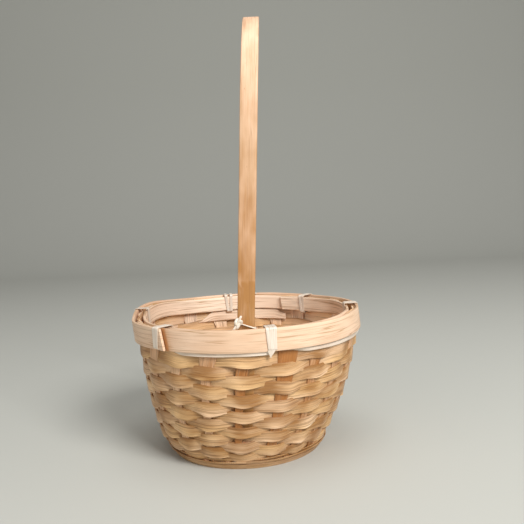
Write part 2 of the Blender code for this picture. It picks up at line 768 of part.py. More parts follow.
def adopt(made):
    """Moves an object that an operator made into the basket's collection."""
    for holder in list(made.users_collection):
        holder.objects.unlink(made)
    parts.objects.link(made)


clear_scene()
parts = bpy.data.collections.new("splint_basket")
cutters = bpy.data.collections.new("splint_basket_cutters")
bpy.context.scene.collection.children.link(parts)
bpy.context.scene.collection.children.link(cutters)
pale = make_material("pale_bamboo", BAMBOO_PALE, 0.55)
tan = make_material("tan_bamboo", BAMBOO_TAN, 0.6)
brown = make_material("brown_bamboo", BAMBOO_BROWN, 0.6)
handle_brown = make_material("handle_bamboo", BAMBOO_HANDLE, 0.5)
white = make_material("white_binding", BINDING_WHITE, 0.4)

make_splints()
make_weavers()
make_floor_weaver()
make_hoops()
make_foot_hoop()
make_rim_weaver()
make_handle()
make_ties()
make_binder_runs()
make_lashing("front_lashing", 1)
make_lashing("back_lashing", -1)
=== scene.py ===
# %% [markdown]
# # A round splint basket
# The basket is woven from flat bamboo splints: splints cross in the floor and turn up as
# stakes, thinner splints wind round them in a spiral, two broad hoops clamp the rim, and a bent
# strip is the handle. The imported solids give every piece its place. This lesson lays a finer
# surface over each of them, so the first step is to load those solids as a fixed frame.

# %% Load the frame
import math

import bpy
import numpy as np
from mathutils import Matrix, Vector


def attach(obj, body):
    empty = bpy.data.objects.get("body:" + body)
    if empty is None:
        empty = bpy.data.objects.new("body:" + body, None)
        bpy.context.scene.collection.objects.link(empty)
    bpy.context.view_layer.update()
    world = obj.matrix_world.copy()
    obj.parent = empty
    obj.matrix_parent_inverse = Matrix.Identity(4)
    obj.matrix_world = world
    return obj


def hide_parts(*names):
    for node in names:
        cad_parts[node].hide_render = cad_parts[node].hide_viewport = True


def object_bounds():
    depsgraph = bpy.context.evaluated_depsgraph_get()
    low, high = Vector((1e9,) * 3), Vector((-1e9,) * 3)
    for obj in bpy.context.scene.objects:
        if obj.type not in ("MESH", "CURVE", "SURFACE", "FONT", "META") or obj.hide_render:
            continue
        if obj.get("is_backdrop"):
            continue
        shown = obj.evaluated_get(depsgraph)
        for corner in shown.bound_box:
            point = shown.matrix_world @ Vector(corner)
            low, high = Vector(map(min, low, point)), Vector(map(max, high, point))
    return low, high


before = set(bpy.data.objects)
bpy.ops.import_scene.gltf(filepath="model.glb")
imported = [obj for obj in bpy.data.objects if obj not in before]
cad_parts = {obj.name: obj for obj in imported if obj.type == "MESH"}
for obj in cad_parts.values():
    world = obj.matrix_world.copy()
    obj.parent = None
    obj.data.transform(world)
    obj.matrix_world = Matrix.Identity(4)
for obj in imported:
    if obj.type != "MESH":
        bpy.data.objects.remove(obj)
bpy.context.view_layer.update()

# %% [markdown]
# ## The camera
# The picture is taken from a little above the rim, close in front of the basket and rolled by a
# few degrees. The lens is given by its focal length, and the three directions of the camera are
# the columns of its rotation, so the view can be repeated exactly.

# %% Camera
CAMERA_PLACE = (0.01137, -0.46255, 0.17308)
CAMERA_RIGHT = (0.99886, -0.00831, -0.04698)
CAMERA_UP = (0.04754, 0.09264, 0.99456)
CAMERA_AHEAD = (0.00391, 0.99567, -0.09293)
lens = bpy.data.cameras.new("camera")
lens.sensor_fit = "HORIZONTAL"
lens.sensor_width = 36
lens.lens = 44.61
lens.clip_start = 0.01
camera = bpy.data.objects.new("camera", lens)
turned = Matrix((CAMERA_RIGHT, CAMERA_UP, [-part for part in CAMERA_AHEAD])).transposed()
camera.matrix_world = Matrix.Translation(CAMERA_PLACE) @ turned.to_4x4()
bpy.context.scene.collection.objects.link(camera)
bpy.context.scene.camera = camera
print("camera at", CAMERA_PLACE, "lens", lens.lens)

# %% [markdown]
# ## Sizes
# The named sizes are those of the solids, in metres, so that each fine piece lies where its solid
# lies. Angles are in degrees from the front (-Y) towards the right (+X).

# %% Sizes of the basket
RIM_RADIUS, RIM_HEIGHT = 0.0800, 0.0970
HOOP_HEIGHT, HOOP_THICKNESS = 0.0130, 0.0018
HOOP_BOTTOM = RIM_HEIGHT - HOOP_HEIGHT
STAKE_RADIUS = 0.07608
FLOOR_RADIUS, FLOOR_LEVEL, FLOOR_SHIFT = 0.0533, 0.0020, -0.0034
WALL_BULGE, BULGE_LOW_SHARE = 0.0043, 0.3
CORNER_RADIUS, CORNER_START, WALL_FOOT = 0.0040, 0.04978, 0.00411
STAKES, STAKE_THICKNESS = 21, 0.0012
STAKE_TOP = 0.0955
# The rim is sprung: how high, round which angle and how broadly it rises or drops.
RIM_SPRINGS = [(0.0036, 251.0, 25.0), (-0.0010, 138.0, 28.0)]
# The wall isn't quite round: how far it leans to the right and bulges at a few heights.
LEAN_LEVELS = np.array([0.0050, 0.0100, 0.0150, 0.0300, 0.0550, 0.0750, 0.0840, 0.0970])
LEANS = np.array([0.0, -0.0010, -0.0011, 0.0000, 0.0008, 0.0010, 0.0012, 0.0000])
EXTRA_BOW = np.array([0.0, 0.0010, 0.0011, 0.0007, 0.0009, 0.0007, 0.0003, 0.0000])
STAKE_SHIFTS = np.array([
    -0.04, 0.14, 0.10, 0.03, 0.00, -0.07, -0.12, -0.18, -0.25, -0.33, -0.45,
    -0.56, -0.36, -0.22, -0.19, -0.16, -0.13, -0.11, -0.09, -0.08, -0.06,
])
print("stakes stand at", np.round(360 / STAKES * (np.arange(STAKES) + STAKE_SHIFTS), 1))

# %% [markdown]
# ## Places on the wall
# Everything woven is laid out by two numbers: how far round the basket, and how high. These few
# functions turn whole arrays of such numbers into points. Stakes are counted on past one turn, so
# one rising count follows a weaver up the whole spiral.

# %% Directions and the wall's surface
UP = np.array([0.0, 0.0, 1.0])
# How blunt the ridge of a tent is: 0 is a sharp fold.
TENT_ROUND = 0.22
COUNTS = np.arange(-12, 258)
COUNT_ANGLES = 360 / STAKES * (COUNTS + STAKE_SHIFTS[COUNTS % STAKES])


def angle_of(count):
    """Angle of a place along the spiral: whole counts are stakes, halves lie between them."""
    return np.interp(count, COUNTS, COUNT_ANGLES)


def outward(angle):
    """Level direction away from the middle: (sin, -cos, 0) of the angle."""
    turned = np.radians(angle)
    return np.stack([np.sin(turned), -np.cos(turned), 0 * turned], -1)


def sideways(angle):
    """Level direction round the basket: (cos, sin, 0) of the angle."""
    turned = np.radians(angle)
    return np.stack([np.cos(turned), np.sin(turned), 0 * turned], -1)


def how_far_back(angle):
    """0 at the front and 1 at the back: half of 1 - cos(angle)."""
    return 0.5 - 0.5 * np.cos(np.radians(angle))


def ring_path(angle, radius, level):
    """Points by angle, distance from the middle and height: outward times radius plus up times level."""
    return outward(angle) * np.asarray(radius)[..., None] + UP * np.asarray(level)[..., None]


def unit(rows):
    """Each row divided by its own length."""
    return rows / np.linalg.norm(rows, axis=-1, keepdims=True)


def lean_at(level):
    """How far the wall leans to the right at a height, read off a row of noted heights."""
    return np.interp(level, LEAN_LEVELS, LEANS)


def middle_at(level):
    """The basket's middle at a height: the floor sits a little to the left of the rim."""
    level = np.asarray(level, float)
    shift = FLOOR_SHIFT * np.maximum(0, 1 - level / HOOP_BOTTOM) + lean_at(level)
    return np.stack([shift, 0 * level, level], -1)


def wall_radius(level):
    """A straight slant from floor to rim plus 4 s (1 - s) times the bulge, fuller low down, and a
    little more where the wall leans."""
    share = np.clip((level - WALL_FOOT) / (HOOP_BOTTOM - WALL_FOOT), 0, 1)
    bow = 4 * WALL_BULGE * share * (1 - share) * (1 + BULGE_LOW_SHARE * (1 - 2 * share))
    bow = bow + np.interp(level, LEAN_LEVELS, EXTRA_BOW)
    return FLOOR_RADIUS + (STAKE_RADIUS - FLOOR_RADIUS) * share + bow


def wall_normal(angle, level):
    """Outward normal of the wall: the outward direction less the wall's slope times up."""
    step = 0.001
    slope = (wall_radius(level + step) - wall_radius(level - step)) / (2 * step)
    slope = np.where(level < HOOP_BOTTOM, slope, 0)
    return unit(outward(angle) - slope[..., None] * UP), slope


def rim_lift(angle):
    """Height that the sprung rim gains: a sum of bells, height exp(-((angle - middle) / width)^2)."""
    away = [(np.asarray(angle, float) - middle + 180) % 360 - 180 for _, middle, _ in RIM_SPRINGS]
    return sum(high * np.exp(-((off / wide) ** 2)) for off, (high, _, wide) in zip(away, RIM_SPRINGS))


def over_under(count, squareness):
    """A wave that is 1 on even stakes and -1 on odd ones: tanh(k cos(pi count)) / tanh(k)."""
    return np.tanh(squareness * np.cos(np.pi * count)) / math.tanh(squareness)


def tent(away, peak):
    """1 at peak and 0 at half a count to each side, along nearly straight lines: a rounded tent."""
    side = np.where(away < peak, 0.5 + peak, 0.5 - peak)
    slope = np.sqrt(((away - peak) / side) ** 2 + TENT_ROUND**2)
    return 1 - (slope - TENT_ROUND) / (math.hypot(1, TENT_ROUND) - TENT_ROUND)


def wander(place, seed):
    """A smooth uneven line between -1 and 1: the mean of three sines that never fall in step."""
    waves = np.sin(place + seed) + np.sin(1.71 * place + 2.3 * seed) + np.sin(2.83 * place + 4.1 * seed)
    return waves / 3


def eased(share):
    """0 to 1 with a soft start and end: 3 s^2 - 2 s^3."""
    share = np.clip(share, 0, 1)
    return share * share * (3 - 2 * share)


def lengths_along(path):
    """Distance travelled at each point of a path."""
    steps = np.linalg.norm(np.diff(path, axis=0), axis=1)
    return np.concatenate([[0], np.cumsum(steps)])


print("wall radius at floor, middle and rim:", np.round(wall_radius(np.array([0, 0.045, 0.09])), 4))

# %% [markdown]
# ## One flat strip
# Nearly every piece is the same thing: a thin strip with softly rounded edges. Its section is one
# closed ring of points, given as shares of half the width and half the thickness. A strip is then
# a grid: rows run along the strip, columns run round the section. Each strip also gets a UV map in
# metres, so that grain can follow its length, and two attributes, its tone and how near its edge
# a point lies.

# %% Section and mesh of a strip
# Over the rounded edge the strip grows from a third of its thickness to the whole of it.
EDGE_ACROSS, EDGE_DEPTH = np.array([1.0, 0.985]), np.array([0.35, 0.8])
FACE_ACROSS = np.linspace(0.93, -0.93, 9)
upper_across = np.concatenate([EDGE_ACROSS, FACE_ACROSS, -EDGE_ACROSS[::-1]])
upper_depth = np.concatenate([EDGE_DEPTH, np.ones(9), EDGE_DEPTH[::-1]])
ACROSS = np.concatenate([upper_across, upper_across[::-1]])
DEPTH = np.concatenate([upper_depth, -upper_depth[::-1]])
# Lower and upper edge masks; the upper one only carries the weavers' painted shade.
LOWER_EDGE, UPPER_EDGE_SHADE = np.clip(-ACROSS, 0, 1) ** 2, np.clip(ACROSS, 0, 1) ** 2
SHARPEST_SMOOTHED = 50
pieces_made = []


def build(name, grid, across_m, tone, finish, stands_for, ring=False, skip=0.0):
    """A grid of points as one closed mesh: quads between rows, and a cap on each open end."""
    rows, columns, _ = grid.shape
    index = np.arange(rows * columns).reshape(rows, columns)
    here = index if ring else index[:-1]
    ahead = np.roll(index, -1, 0) if ring else index[1:]
    quads = np.stack([here, ahead, np.roll(ahead, -1, 1), np.roll(here, -1, 1)], -1).reshape(-1, 4)
    faces = quads.tolist()
    if not ring:
        faces += [index[0].tolist(), index[-1][::-1].tolist()]
    mesh = bpy.data.meshes.new(name)
    mesh.from_pydata(grid.reshape(-1, 3), [], faces)
    along = lengths_along(grid.mean(1)) + skip
    along = np.append(along, along[-1] + (along[1] - along[0])) if ring else along
    v_ring = np.concatenate([across_m, across_m[:, :1]], 1)
    v_ring = np.concatenate([v_ring, v_ring[:1]], 0) if ring else v_ring
    u_ring = np.repeat(along[:, None], columns + 1, 1)
    uv = np.stack([u_ring, v_ring], -1)
    corners = np.stack([uv[:-1, :-1], uv[1:, :-1], uv[1:, 1:], uv[:-1, 1:]], 2).reshape(-1, 2)
    if not ring:
        corners = np.concatenate([corners, uv[0, :-1], uv[-1, :-1][::-1]])
    mesh.uv_layers.new(name="strip").data.foreach_set("uv", corners.astype(np.float32).ravel())
    widest = np.abs(across_m).max(1, keepdims=True)
    put(mesh, "edge", np.abs(across_m) / widest)
    put(mesh, "tone", np.broadcast_to(np.asarray(tone, float).reshape(rows, -1), (rows, columns)))
    if enclosed(grid, quads) < 0:
        mesh.flip_normals()
    mesh.shade_smooth()
    mesh.set_sharp_from_angle(angle=math.radians(SHARPEST_SMOOTHED))
    adopt(name, mesh, finish, stands_for)


def enclosed(grid, quads):
    """Volume inside the quads, seen from their middle: a sixth of the sum of a . (b x c) over all
    triangles. It is negative where the faces look inwards."""
    points = (grid - grid.mean((0, 1))).reshape(-1, 3)[quads]
    first, second, third, fourth = points.transpose(1, 0, 2)
    return np.sum(first * (np.cross(second, third) + np.cross(third, fourth))) / 6


def put(mesh, name, values):
    """One number for each point, under a name that a material can read."""
    layer = mesh.attributes.new(name, "FLOAT", "POINT")
    layer.data.foreach_set("value", np.ascontiguousarray(values, np.float32).ravel())


def adopt(name, mesh, finish, stands_for):
    """The mesh as a piece of the basket: its finish, its body, and the solid it stands for."""
    mesh.materials.append(finish)
    piece = bpy.data.objects.new(name, mesh)
    bpy.context.scene.collection.objects.link(piece)
    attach(piece, "root")
    if stands_for:
        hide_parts(stands_for)
    pieces_made.append((name, len(mesh.polygons)))


def ribbon(path, side, normal, widths, thickness, cup=0.0):
    """Points of a strip whose middle line is path: side times across plus normal times depth, which
    also gains cup times across squared."""
    rows = len(path)
    half = np.broadcast_to(np.asarray(widths, float), (rows,))[:, None] / 2
    across_m = ACROSS * half
    thickness, cup = (np.asarray(value).reshape(-1, 1) for value in (thickness, cup))
    depth_m = DEPTH * thickness / 2 + cup * across_m**2
    grid = path[:, None] + side[:, None] * across_m[..., None] + normal[:, None] * depth_m[..., None]
    return grid, across_m


print("points round a section:", len(ACROSS))

# %% [markdown]
# ## The finishes
# Split bamboo is a bundle of parallel fibres: fine light and dark lines along the strip, broader
# soft patches, and a few dark hairlines. All of them are noise, stretched hard along the strip's
# own UV map. One function makes every bamboo of the basket, from pale planed hoops to brown
# stakes, out of a light colour, a dark colour and the strength of its lines.

# %% Bamboo and binding materials
def add(material, kind, inputs=None, **settings):
    """A shader node of that kind, with its settings and with values or links for its inputs."""
    made = material.node_tree.nodes.new("ShaderNode" + kind)
    for name, value in settings.items():
        setattr(made, name, value)
    for name, value in (inputs or {}).items():
        if isinstance(value, bpy.types.NodeSocket):
            material.node_tree.links.new(value, made.inputs[name])
        else:
            made.inputs[name].default_value = value
    return made


def noise(material, vector, stretch, detail=2.0, roughness=0.5):
    """Noise on the strip's metres times stretch: waves per metre along and across."""
    scaled = add(material, "VectorMath", {0: vector, 1: (*stretch, 0)}, operation="MULTIPLY")
    made = add(material, "TexNoise", {"Vector": scaled.outputs[0], "Scale": 1.0, "Detail": detail,
                                      "Roughness": roughness})
    return made.outputs["Fac"]


def spread(material, value, low, high, to_low=0.0, to_high=1.0):
    """A value's range low to high, carried over to another range and kept inside it."""
    made = add(material, "MapRange", {"Value": value, 1: low, 2: high, 3: to_low, 4: to_high})
    return made.outputs[0]


def maths(material, operation, *values):
    """One sum, product or the like of numbers or links."""
    made = add(material, "Math", dict(enumerate(values)), operation=operation)
    return made.outputs[0]


def mix(material, share, first, second, blend="MIX"):
    """The first colour, replaced or tinted by the second as far as the share goes."""
    made = add(material, "Mix", {0: share, 6: first, 7: second}, data_type="RGBA", blend_type=blend)
    return made.outputs[2]


PATCH_STRENGTH, WORN_STRENGTH, RIDGE_HEIGHT = 1.3, 0.35, 0.00025
# A tone well above 1 turns towards this near-white colour: painted light on lit parts, and the palest
# bamboo.
BLEACHED_AND_LIT = (0.98, 0.80, 0.62, 1)
# Stains and painted shade take the line colour times this, so they are redder and darker.
STAIN_AND_SHADE_TINT = (1.05, 0.68, 0.24)


def bamboo(slot, light, dark, line, contrast, lines, roughness, bump, speck=0.0, hue=(1, 0.96, 0.95)):
    """Light and dark colour, mixed by tone plus patches and fibres.

    A tone below zero darkens and reddens it, for stains and for painted shade, and one well above 1
    pales it to near white, for painted light. Streaks and hairlines in the line colour, patches
    tinted by hue, worn edges, specks and bump come on top."""
    material = bpy.data.materials.new(slot + "_finish")
    material.use_nodes = True
    shader = material.node_tree.nodes["Principled BSDF"]
    place = add(material, "UVMap", uv_map="strip").outputs[0]
    tone = add(material, "Attribute", attribute_name="tone").outputs["Fac"]
    edge = add(material, "Attribute", attribute_name="edge").outputs["Fac"]
    fine = noise(material, place, (70, 3200), 3.0, 0.65)
    fibre = noise(material, place, (24, 750), 2.5, 0.6)
    patch = noise(material, place, (45, 140), 2.0)
    hair = noise(material, place, (7, 420), 1.0)
    middle = 0.5
    near = maths(material, "ABSOLUTE", maths(material, "SUBTRACT", hair, middle))
    hairline = spread(material, near, 0.0, 0.022, 1.0, 0.0)
    share = tone
    for grain, strength in ((patch, PATCH_STRENGTH), (fibre, contrast), (fine, contrast)):
        uneven = maths(material, "SUBTRACT", grain, middle)
        share = maths(material, "MULTIPLY_ADD", uneven, strength, share)
    share = spread(material, share, 0.0, 1.0)
    colour = mix(material, share, (*dark, 1), (*light, 1))
    # Below zero the tone runs to the stain colour: real stains, and painted shade where a tone is pushed
    # down for shade.
    stained_and_shaded = spread(material, tone, -1.0, -0.2, 0.85, 0.0)
    # Well above 1 the tone runs to near white: painted light.
    bleached_and_lit = spread(material, tone, 1.2, 2.2, 0.0, 0.9)
    colour = mix(material, bleached_and_lit, colour, BLEACHED_AND_LIT)
    stain_and_shade = [part * tint for part, tint in zip(line, STAIN_AND_SHADE_TINT)]
    colour = mix(material, stained_and_shaded, colour, (*stain_and_shade, 1))
    ink = (*line, 1)
    streak = spread(material, fibre, 0.52, 0.75, 0.0, lines)
    colour = mix(material, streak, colour, ink)
    colour = mix(material, maths(material, "MULTIPLY", hairline, lines), colour, ink)
    warmth = spread(material, noise(material, place, (13, 50), 1.0), 0.38, 0.62)
    colour = mix(material, warmth, colour, (*hue, 1), "MULTIPLY")
    worn = spread(material, edge, 0.93, 1.0, 0.0, WORN_STRENGTH)
    colour = mix(material, worn, colour, ink)
    if speck:
        spots = spread(material, noise(material, place, (320, 900), 1.0), 0.74, 0.80, 0.0, speck)
        colour = mix(material, spots, colour, ink)
    rough = spread(material, fibre, 0.25, 0.75, roughness - 0.1, roughness + 0.12)
    height = maths(material, "MULTIPLY_ADD", hairline, -0.6, maths(material, "ADD", fine, fibre))
    ridges = add(material, "Bump", {"Strength": bump, "Distance": RIDGE_HEIGHT, "Height": height})
    ends = {"Base Color": colour, "Roughness": rough, "Normal": ridges.outputs["Normal"]}
    for socket, source in ends.items():
        material.node_tree.links.new(source, shader.inputs[socket])
    shader.inputs["Specular IOR Level"].default_value = 0.45
    return material


pale = bamboo("pale_bamboo", (0.885, 0.65, 0.465), (0.74, 0.48, 0.30), (0.42, 0.23, 0.10),
              0.65, 0.75, 0.48, 0.35)
tan = bamboo("tan_bamboo", (0.85, 0.565, 0.34), (0.38, 0.18, 0.06), (0.20, 0.08, 0.02),
             1.35, 0.60, 0.46, 0.5, 0.5, (0.98, 0.93, 0.72))
brown = bamboo("brown_bamboo", (0.90, 0.60, 0.36), (0.40, 0.155, 0.035), (0.20, 0.075, 0.018),
               0.9, 0.60, 0.5, 0.6)
handle_finish = bamboo("handle_bamboo", (0.81, 0.54, 0.35), (0.42, 0.20, 0.06),
                       (0.26, 0.11, 0.035), 0.45, 0.35, 0.42, 0.3, 0.4)
white = bamboo("white_binding", (0.86, 0.76, 0.64), (0.62, 0.50, 0.38), (0.42, 0.31, 0.21),
               0.6, 0.3, 0.3, 0.3)
print("finishes:", [m.name for m in (pale, tan, brown, handle_finish, white)])

# %% [markdown]
# ## Splints that are floor and stakes in one
# A long splint starts at the rim, comes down the wall, bends round the corner, fans in over the
# floor, crosses the mat and climbs the other side. Its middle line is therefore computed in
# stretches, first one half from the middle of the floor outwards, then the other, and the two
# halves are joined into one path.

# %% Halves of a splint
MAT_SPACING, MAT_HALF = 0.0110, 0.0268
MAT_LIFT = 0.00075
FRONT_BACK_PAIRS = [(19, 13), (20, 12), (0, 11), (1, 10), (2, 9)]
RIGHT_LEFT_PAIRS = [(3, 18), (4, 17), (5, 16), (7, 15), (8, 14)]
EXTRA_STAKE = 6
BACKWARD, LEFTWARD = np.array([0.0, 1.0, 0.0]), np.array([-1.0, 0.0, 0.0])
MAT_SQUARENESS, CORNER_BEND = 4.5, 61.75
WIDTH_LEVELS = [0.0, 0.012, 0.040, 0.052, 0.066, 0.080]
BROAD_WIDTHS = [0.0088, 0.0062, 0.0066, 0.0080, 0.0102, 0.0124]
STAKE_WIDTHS = [0.0088, 0.0060, 0.0052, 0.0054, 0.0066, 0.0120]
# The broad ones are left nearly whole below the rim; a few differ a little from the others.
BROAD_STAKES = (0, 1)
STAKE_WIDTH_SHARES = {0: 0.72, 1: 1.10, 12: 1.10}
# One was not quite in line when it was woven in: metres to its left, halfway up the wall.
STAKE_DRIFT = {0: 0.0018}
# The front ones are the brownest; the others are nearer the colour of the weavers.
STAKE_TONES = {0: 0.0, 1: 0.0, 2: 0.2, 3: 0.3, 20: 0.55}


def stake_width(level, stake):
    """The splints are shaved where they bend into the wall, and are broadest at the rim."""
    widths = BROAD_WIDTHS if stake in BROAD_STAKES else STAKE_WIDTHS
    return np.interp(level, WIDTH_LEVELS, widths) * STAKE_WIDTH_SHARES.get(stake, 1.0)


def straight_edge(level, stake):
    """Sideways place on the wall: a splint is shaved on its right, so its left edge stays straight."""
    shaved = (stake_width(level, stake) - stake_width(STAKE_TOP, stake)) / 2 * eased(level / 0.015)
    middle = eased(level / 0.030) * eased((0.080 - level) / 0.015)
    return shaved - STAKE_DRIFT.get(stake, 0.0) * middle


def fan_path(offset, way, stake, share):
    """Bezier curve on the floor: it leaves the mat along way and meets the corner square on."""
    lane_side = np.cross(UP, way)
    middle = middle_at(0.0)
    out = outward(angle_of(stake))
    start = middle + lane_side * offset + way * MAT_HALF
    end = middle + out * CORNER_START
    reach = np.linalg.norm(end - start) / 3
    controls = [start, start + way * reach, end - out * reach, end]
    keep, share = 1 - share[:, None], share[:, None]
    weights = [keep**3, 3 * keep**2 * share, 3 * keep * share**2, share**3]
    points = sum(weight * control for weight, control in zip(weights, controls))
    heading = np.gradient(points, axis=0)
    return points + UP * FLOOR_LEVEL, np.cross(UP, heading)


def wall_path(stake):
    """From the floor's corner, a quarter bend, then up the wall to the splint's top."""
    angle = angle_of(stake)
    bend = np.radians(CORNER_BEND) * np.linspace(0, 1, 9)[:-1]
    level = FLOOR_LEVEL + CORNER_RADIUS * (1 - np.cos(bend))
    radius = CORNER_START + CORNER_RADIUS * np.sin(bend)
    corner = middle_at(0.0) + ring_path(angle, radius, level)
    level = np.linspace(WALL_FOOT, STAKE_TOP + float(rim_lift(angle)), 80)
    wall = middle_at(level) + outward(angle) * wall_radius(level)[:, None]
    points = np.concatenate([corner, wall])
    points = points + sideways(angle) * straight_edge(points[:, 2], stake)[:, None]
    return points, np.broadcast_to(sideways(angle), points.shape)


def half_splint(offset, way, stake, turn, lane):
    """Middle line and side direction from the mat's middle out to the rim."""
    along = np.linspace(0, MAT_HALF, 40)
    lift = MAT_LIFT * over_under(turn * along / MAT_SPACING + lane, MAT_SQUARENESS)
    lift = lift * eased((MAT_HALF - along) / 0.002)
    lane_side = np.cross(UP, way)
    mat = middle_at(0.0) + lane_side * offset + along[:, None] * way
    mat = mat + UP * (FLOOR_LEVEL + lift)[:, None]
    fan, fan_side = fan_path(offset, way, stake, np.linspace(0, 1, 18)[1:-1])
    wall, wall_side = wall_path(stake)
    side = unit(np.concatenate([np.broadcast_to(lane_side, mat.shape), fan_side, wall_side]))
    path = np.concatenate([mat, fan, wall])
    tones = np.full(len(path), STAKE_TONES.get(stake, 0.62))
    return path, side, stake_width(path[:, 2], stake), tones


def splint(name, path, side, widths, tones, seed):
    """The strip round a path, cupped to the wall's curve, its width and colour a little uneven.

    The outer face is the rough brown one; the inner face, away from the skin, is paler."""
    normal = unit(np.cross(side, np.gradient(path, axis=0)))
    level = path[:, 2]
    along = lengths_along(path)
    widths = widths * (1 + 0.02 * wander(along * 90, seed))
    cup = -0.5 / wall_radius(level) * eased(level / 0.02)
    grid, across_m = ribbon(path, side, normal, widths, STAKE_THICKNESS * 0.9, cup)
    tone = tones + 0.14 * wander(along * 25, seed + 1)
    # The inner face is paler, and near the rim it is painted paler still: painted light on the lit
    # inside of the wall.
    tone = tone[:, None] + (DEPTH < 0) * (0.45 + 0.9 * eased((level - 0.068) / 0.010))[:, None]
    build(name, grid, across_m, tone, brown, name.replace("fine_", ""), skip=seed * 1.7)


def long_splint(name, pair, lane, way, first_up, seed):
    """Two halves that leave the mat's middle in opposite directions, joined into one path."""
    near, far = pair
    offset = (lane - 2) * MAT_SPACING
    one = half_splint(-offset, -way, near, -1, lane + first_up)
    other = half_splint(offset, way, far, 1, lane + first_up)
    path, side, widths, tones = (np.concatenate([a[::-1], b[1:]]) for a, b in zip(one, other))
    side[: len(one[0])] *= -1
    splint(name, path, side, widths, tones, seed)


# %% Lay the splints
for lane, pair in enumerate(FRONT_BACK_PAIRS):
    long_splint(f"fine_front_back_splint_{lane + 1}", pair, 4 - lane, BACKWARD, 0, lane)
for lane, pair in enumerate(RIGHT_LEFT_PAIRS):
    long_splint(f"fine_side_splint_{lane + 1}", pair, 4 - lane, LEFTWARD, 1, lane + 5)
inward = np.linspace(0.0400, CORNER_START, 10)[:-1]
start = middle_at(FLOOR_LEVEL * np.ones(9)) + outward(angle_of(EXTRA_STAKE)) * inward[:, None]
rising, rising_side = wall_path(EXTRA_STAKE)
extra_path = np.concatenate([start, rising])
extra_side = np.concatenate([rising_side[:1].repeat(len(start), 0), rising_side])
extra_widths = stake_width(extra_path[:, 2], EXTRA_STAKE)
splint("fine_extra_stake", extra_path, extra_side, extra_widths, 0.6 + 0 * extra_widths, 11)
print("splints:", pieces_made[-11:])

# %% [markdown]
# ## The spiral of weavers
# A weaver passes outside one stake and inside the next. With an odd number of stakes the next
# turn does the opposite, which locks the wall. On the real basket the splints are wider than the
# space between two turns, so they narrow where they change sides and spread again over the stakes,
# where they hang down like shingles and cover the turn below. That gives the long pointed shapes.
# The strip is laid straight on the wall's surface: each point has a count along the spiral and a
# height, and is pushed out or in by the wave. The wave is a soft one, and the strips don't give way
# as real ones do, so a weaver still cuts through the edges of the stakes that it passes.

# %% The weaver's surface
WEAVER_THICKNESS, WEAVER_SWING, WEAVER_WIDTH = 0.00050, 0.00100, 0.0077
# Outer stretches are broader, except where the stake shows between them, and there they hang low.
OUTER_WIDTHS = np.full(STAKES, 0.0091)
OUTER_WIDTHS[[0, 1, 2, 3, 20]] = 0.0074, 0.0070, 0.0086, 0.0088, 0.0092
OUTER_HANG = np.full(STAKES, 0.0002)
OUTER_HANG[[0, 1]] = 0.0005, 0.0008
# How much a weaver twists as it changes sides, how square its wave is, how far its middle bulges,
# how far a lower edge stands off and how far an outer stretch slants.
WEAVER_TORSION, WAVE_SQUARENESS, WEAVER_CROWN = 0.06, 0.4, 0.00014
EDGE_LIFT, STRETCH_SLANT = 0.0008, 0.0005
WEAVE_FIRST, WEAVE_LAST, WEAVERS = -9, 253, 12
WEAVE_START, WEAVE_END, WEAVE_SAG, BACK_RISE = 0.0082, 0.0789, 0.0018, 0.0022
# The spiral's tilt and where it is lowest, and the counts that the last weaver runs on for.
WEAVE_TILT, TILT_ANGLE, RUN_ON = 0.0026, 15, 1.6
HANDLE_STAKES, HANDLE_FOOT, LEG_ROOM = (0, 11), 0.0300, 0.0021
# Counts whose outer stretch is broader or narrower than its neighbours, with how much.
WIDTH_NOTES = np.array([
    (210.0, 0.0016), (168.0, 0.0004), (231.0, 0.0018), (252.0, 0.0016), (128.0, -0.0006),
])
# The shaved splints stand this part of a count to the left of where they stand at the rim.
SHAVED_PLACE = -0.10
# Counts whose splint is lighter or darker than its neighbours, with how much. Part of the lightness is a
# painted highlight.
TONE_AND_HIGHLIGHT_NOTES = np.array([
    (242.0, 0.40), (240.0, 0.45), (221.0, -0.30), (168.0, -0.1), (126.0, 0.30), (124.0, 0.25),
    (42.0, 0.30), (82.0, 0.30), (44.0, 0.15), (2.0, 0.1), (86.0, 0.2), (170.0, 0.2), (128.0, 0.15),
])


def weave_level(angle):
    """Height of the spiral: a steady climb that sags in the middle, less a tilt that is lowest a
    little left of front. Towards the rim the rows follow the rim's spring, and the back ones rise
    to close the wall under the hoops."""
    start, end = angle_of(WEAVE_FIRST), angle_of(WEAVE_LAST)
    share = (angle - start) / (end - start)
    tilt = WEAVE_TILT * np.clip(np.minimum(share / 0.2, (1 - share) / 0.04), 0, 1)
    climb = WEAVE_START + (WEAVE_END - WEAVE_START) * share - 4 * WEAVE_SAG * share * (1 - share)
    closing = rim_lift(angle) + BACK_RISE * how_far_back(angle)
    climb = climb + eased((share - 0.6) / 0.38) * closing
    return climb - tilt * np.cos(np.radians(angle + TILT_ANGLE))


def row_pitch(angle):
    """Height from one turn of the spiral to the next, half a turn back to half a turn on."""
    first, last = angle_of(WEAVE_FIRST) + 180, angle_of(WEAVE_LAST) - 180
    here = np.clip(angle, first, last)
    return weave_level(here + 180) - weave_level(here - 180)


def leg_space(count, level):
    """Extra room inside the two stakes that carry the handle: cos^2 between the side crossings.

    It is whole in the middle of a leg and less at the leg's edges, which still cut the strips."""
    nearest = np.round(count)
    inside = nearest % 2 == 1
    held = np.isin(nearest % STAKES, HANDLE_STAKES) & inside & (level > HANDLE_FOOT - 0.007)
    return LEG_ROOM * held * np.cos(np.pi * (count - nearest)) ** 2


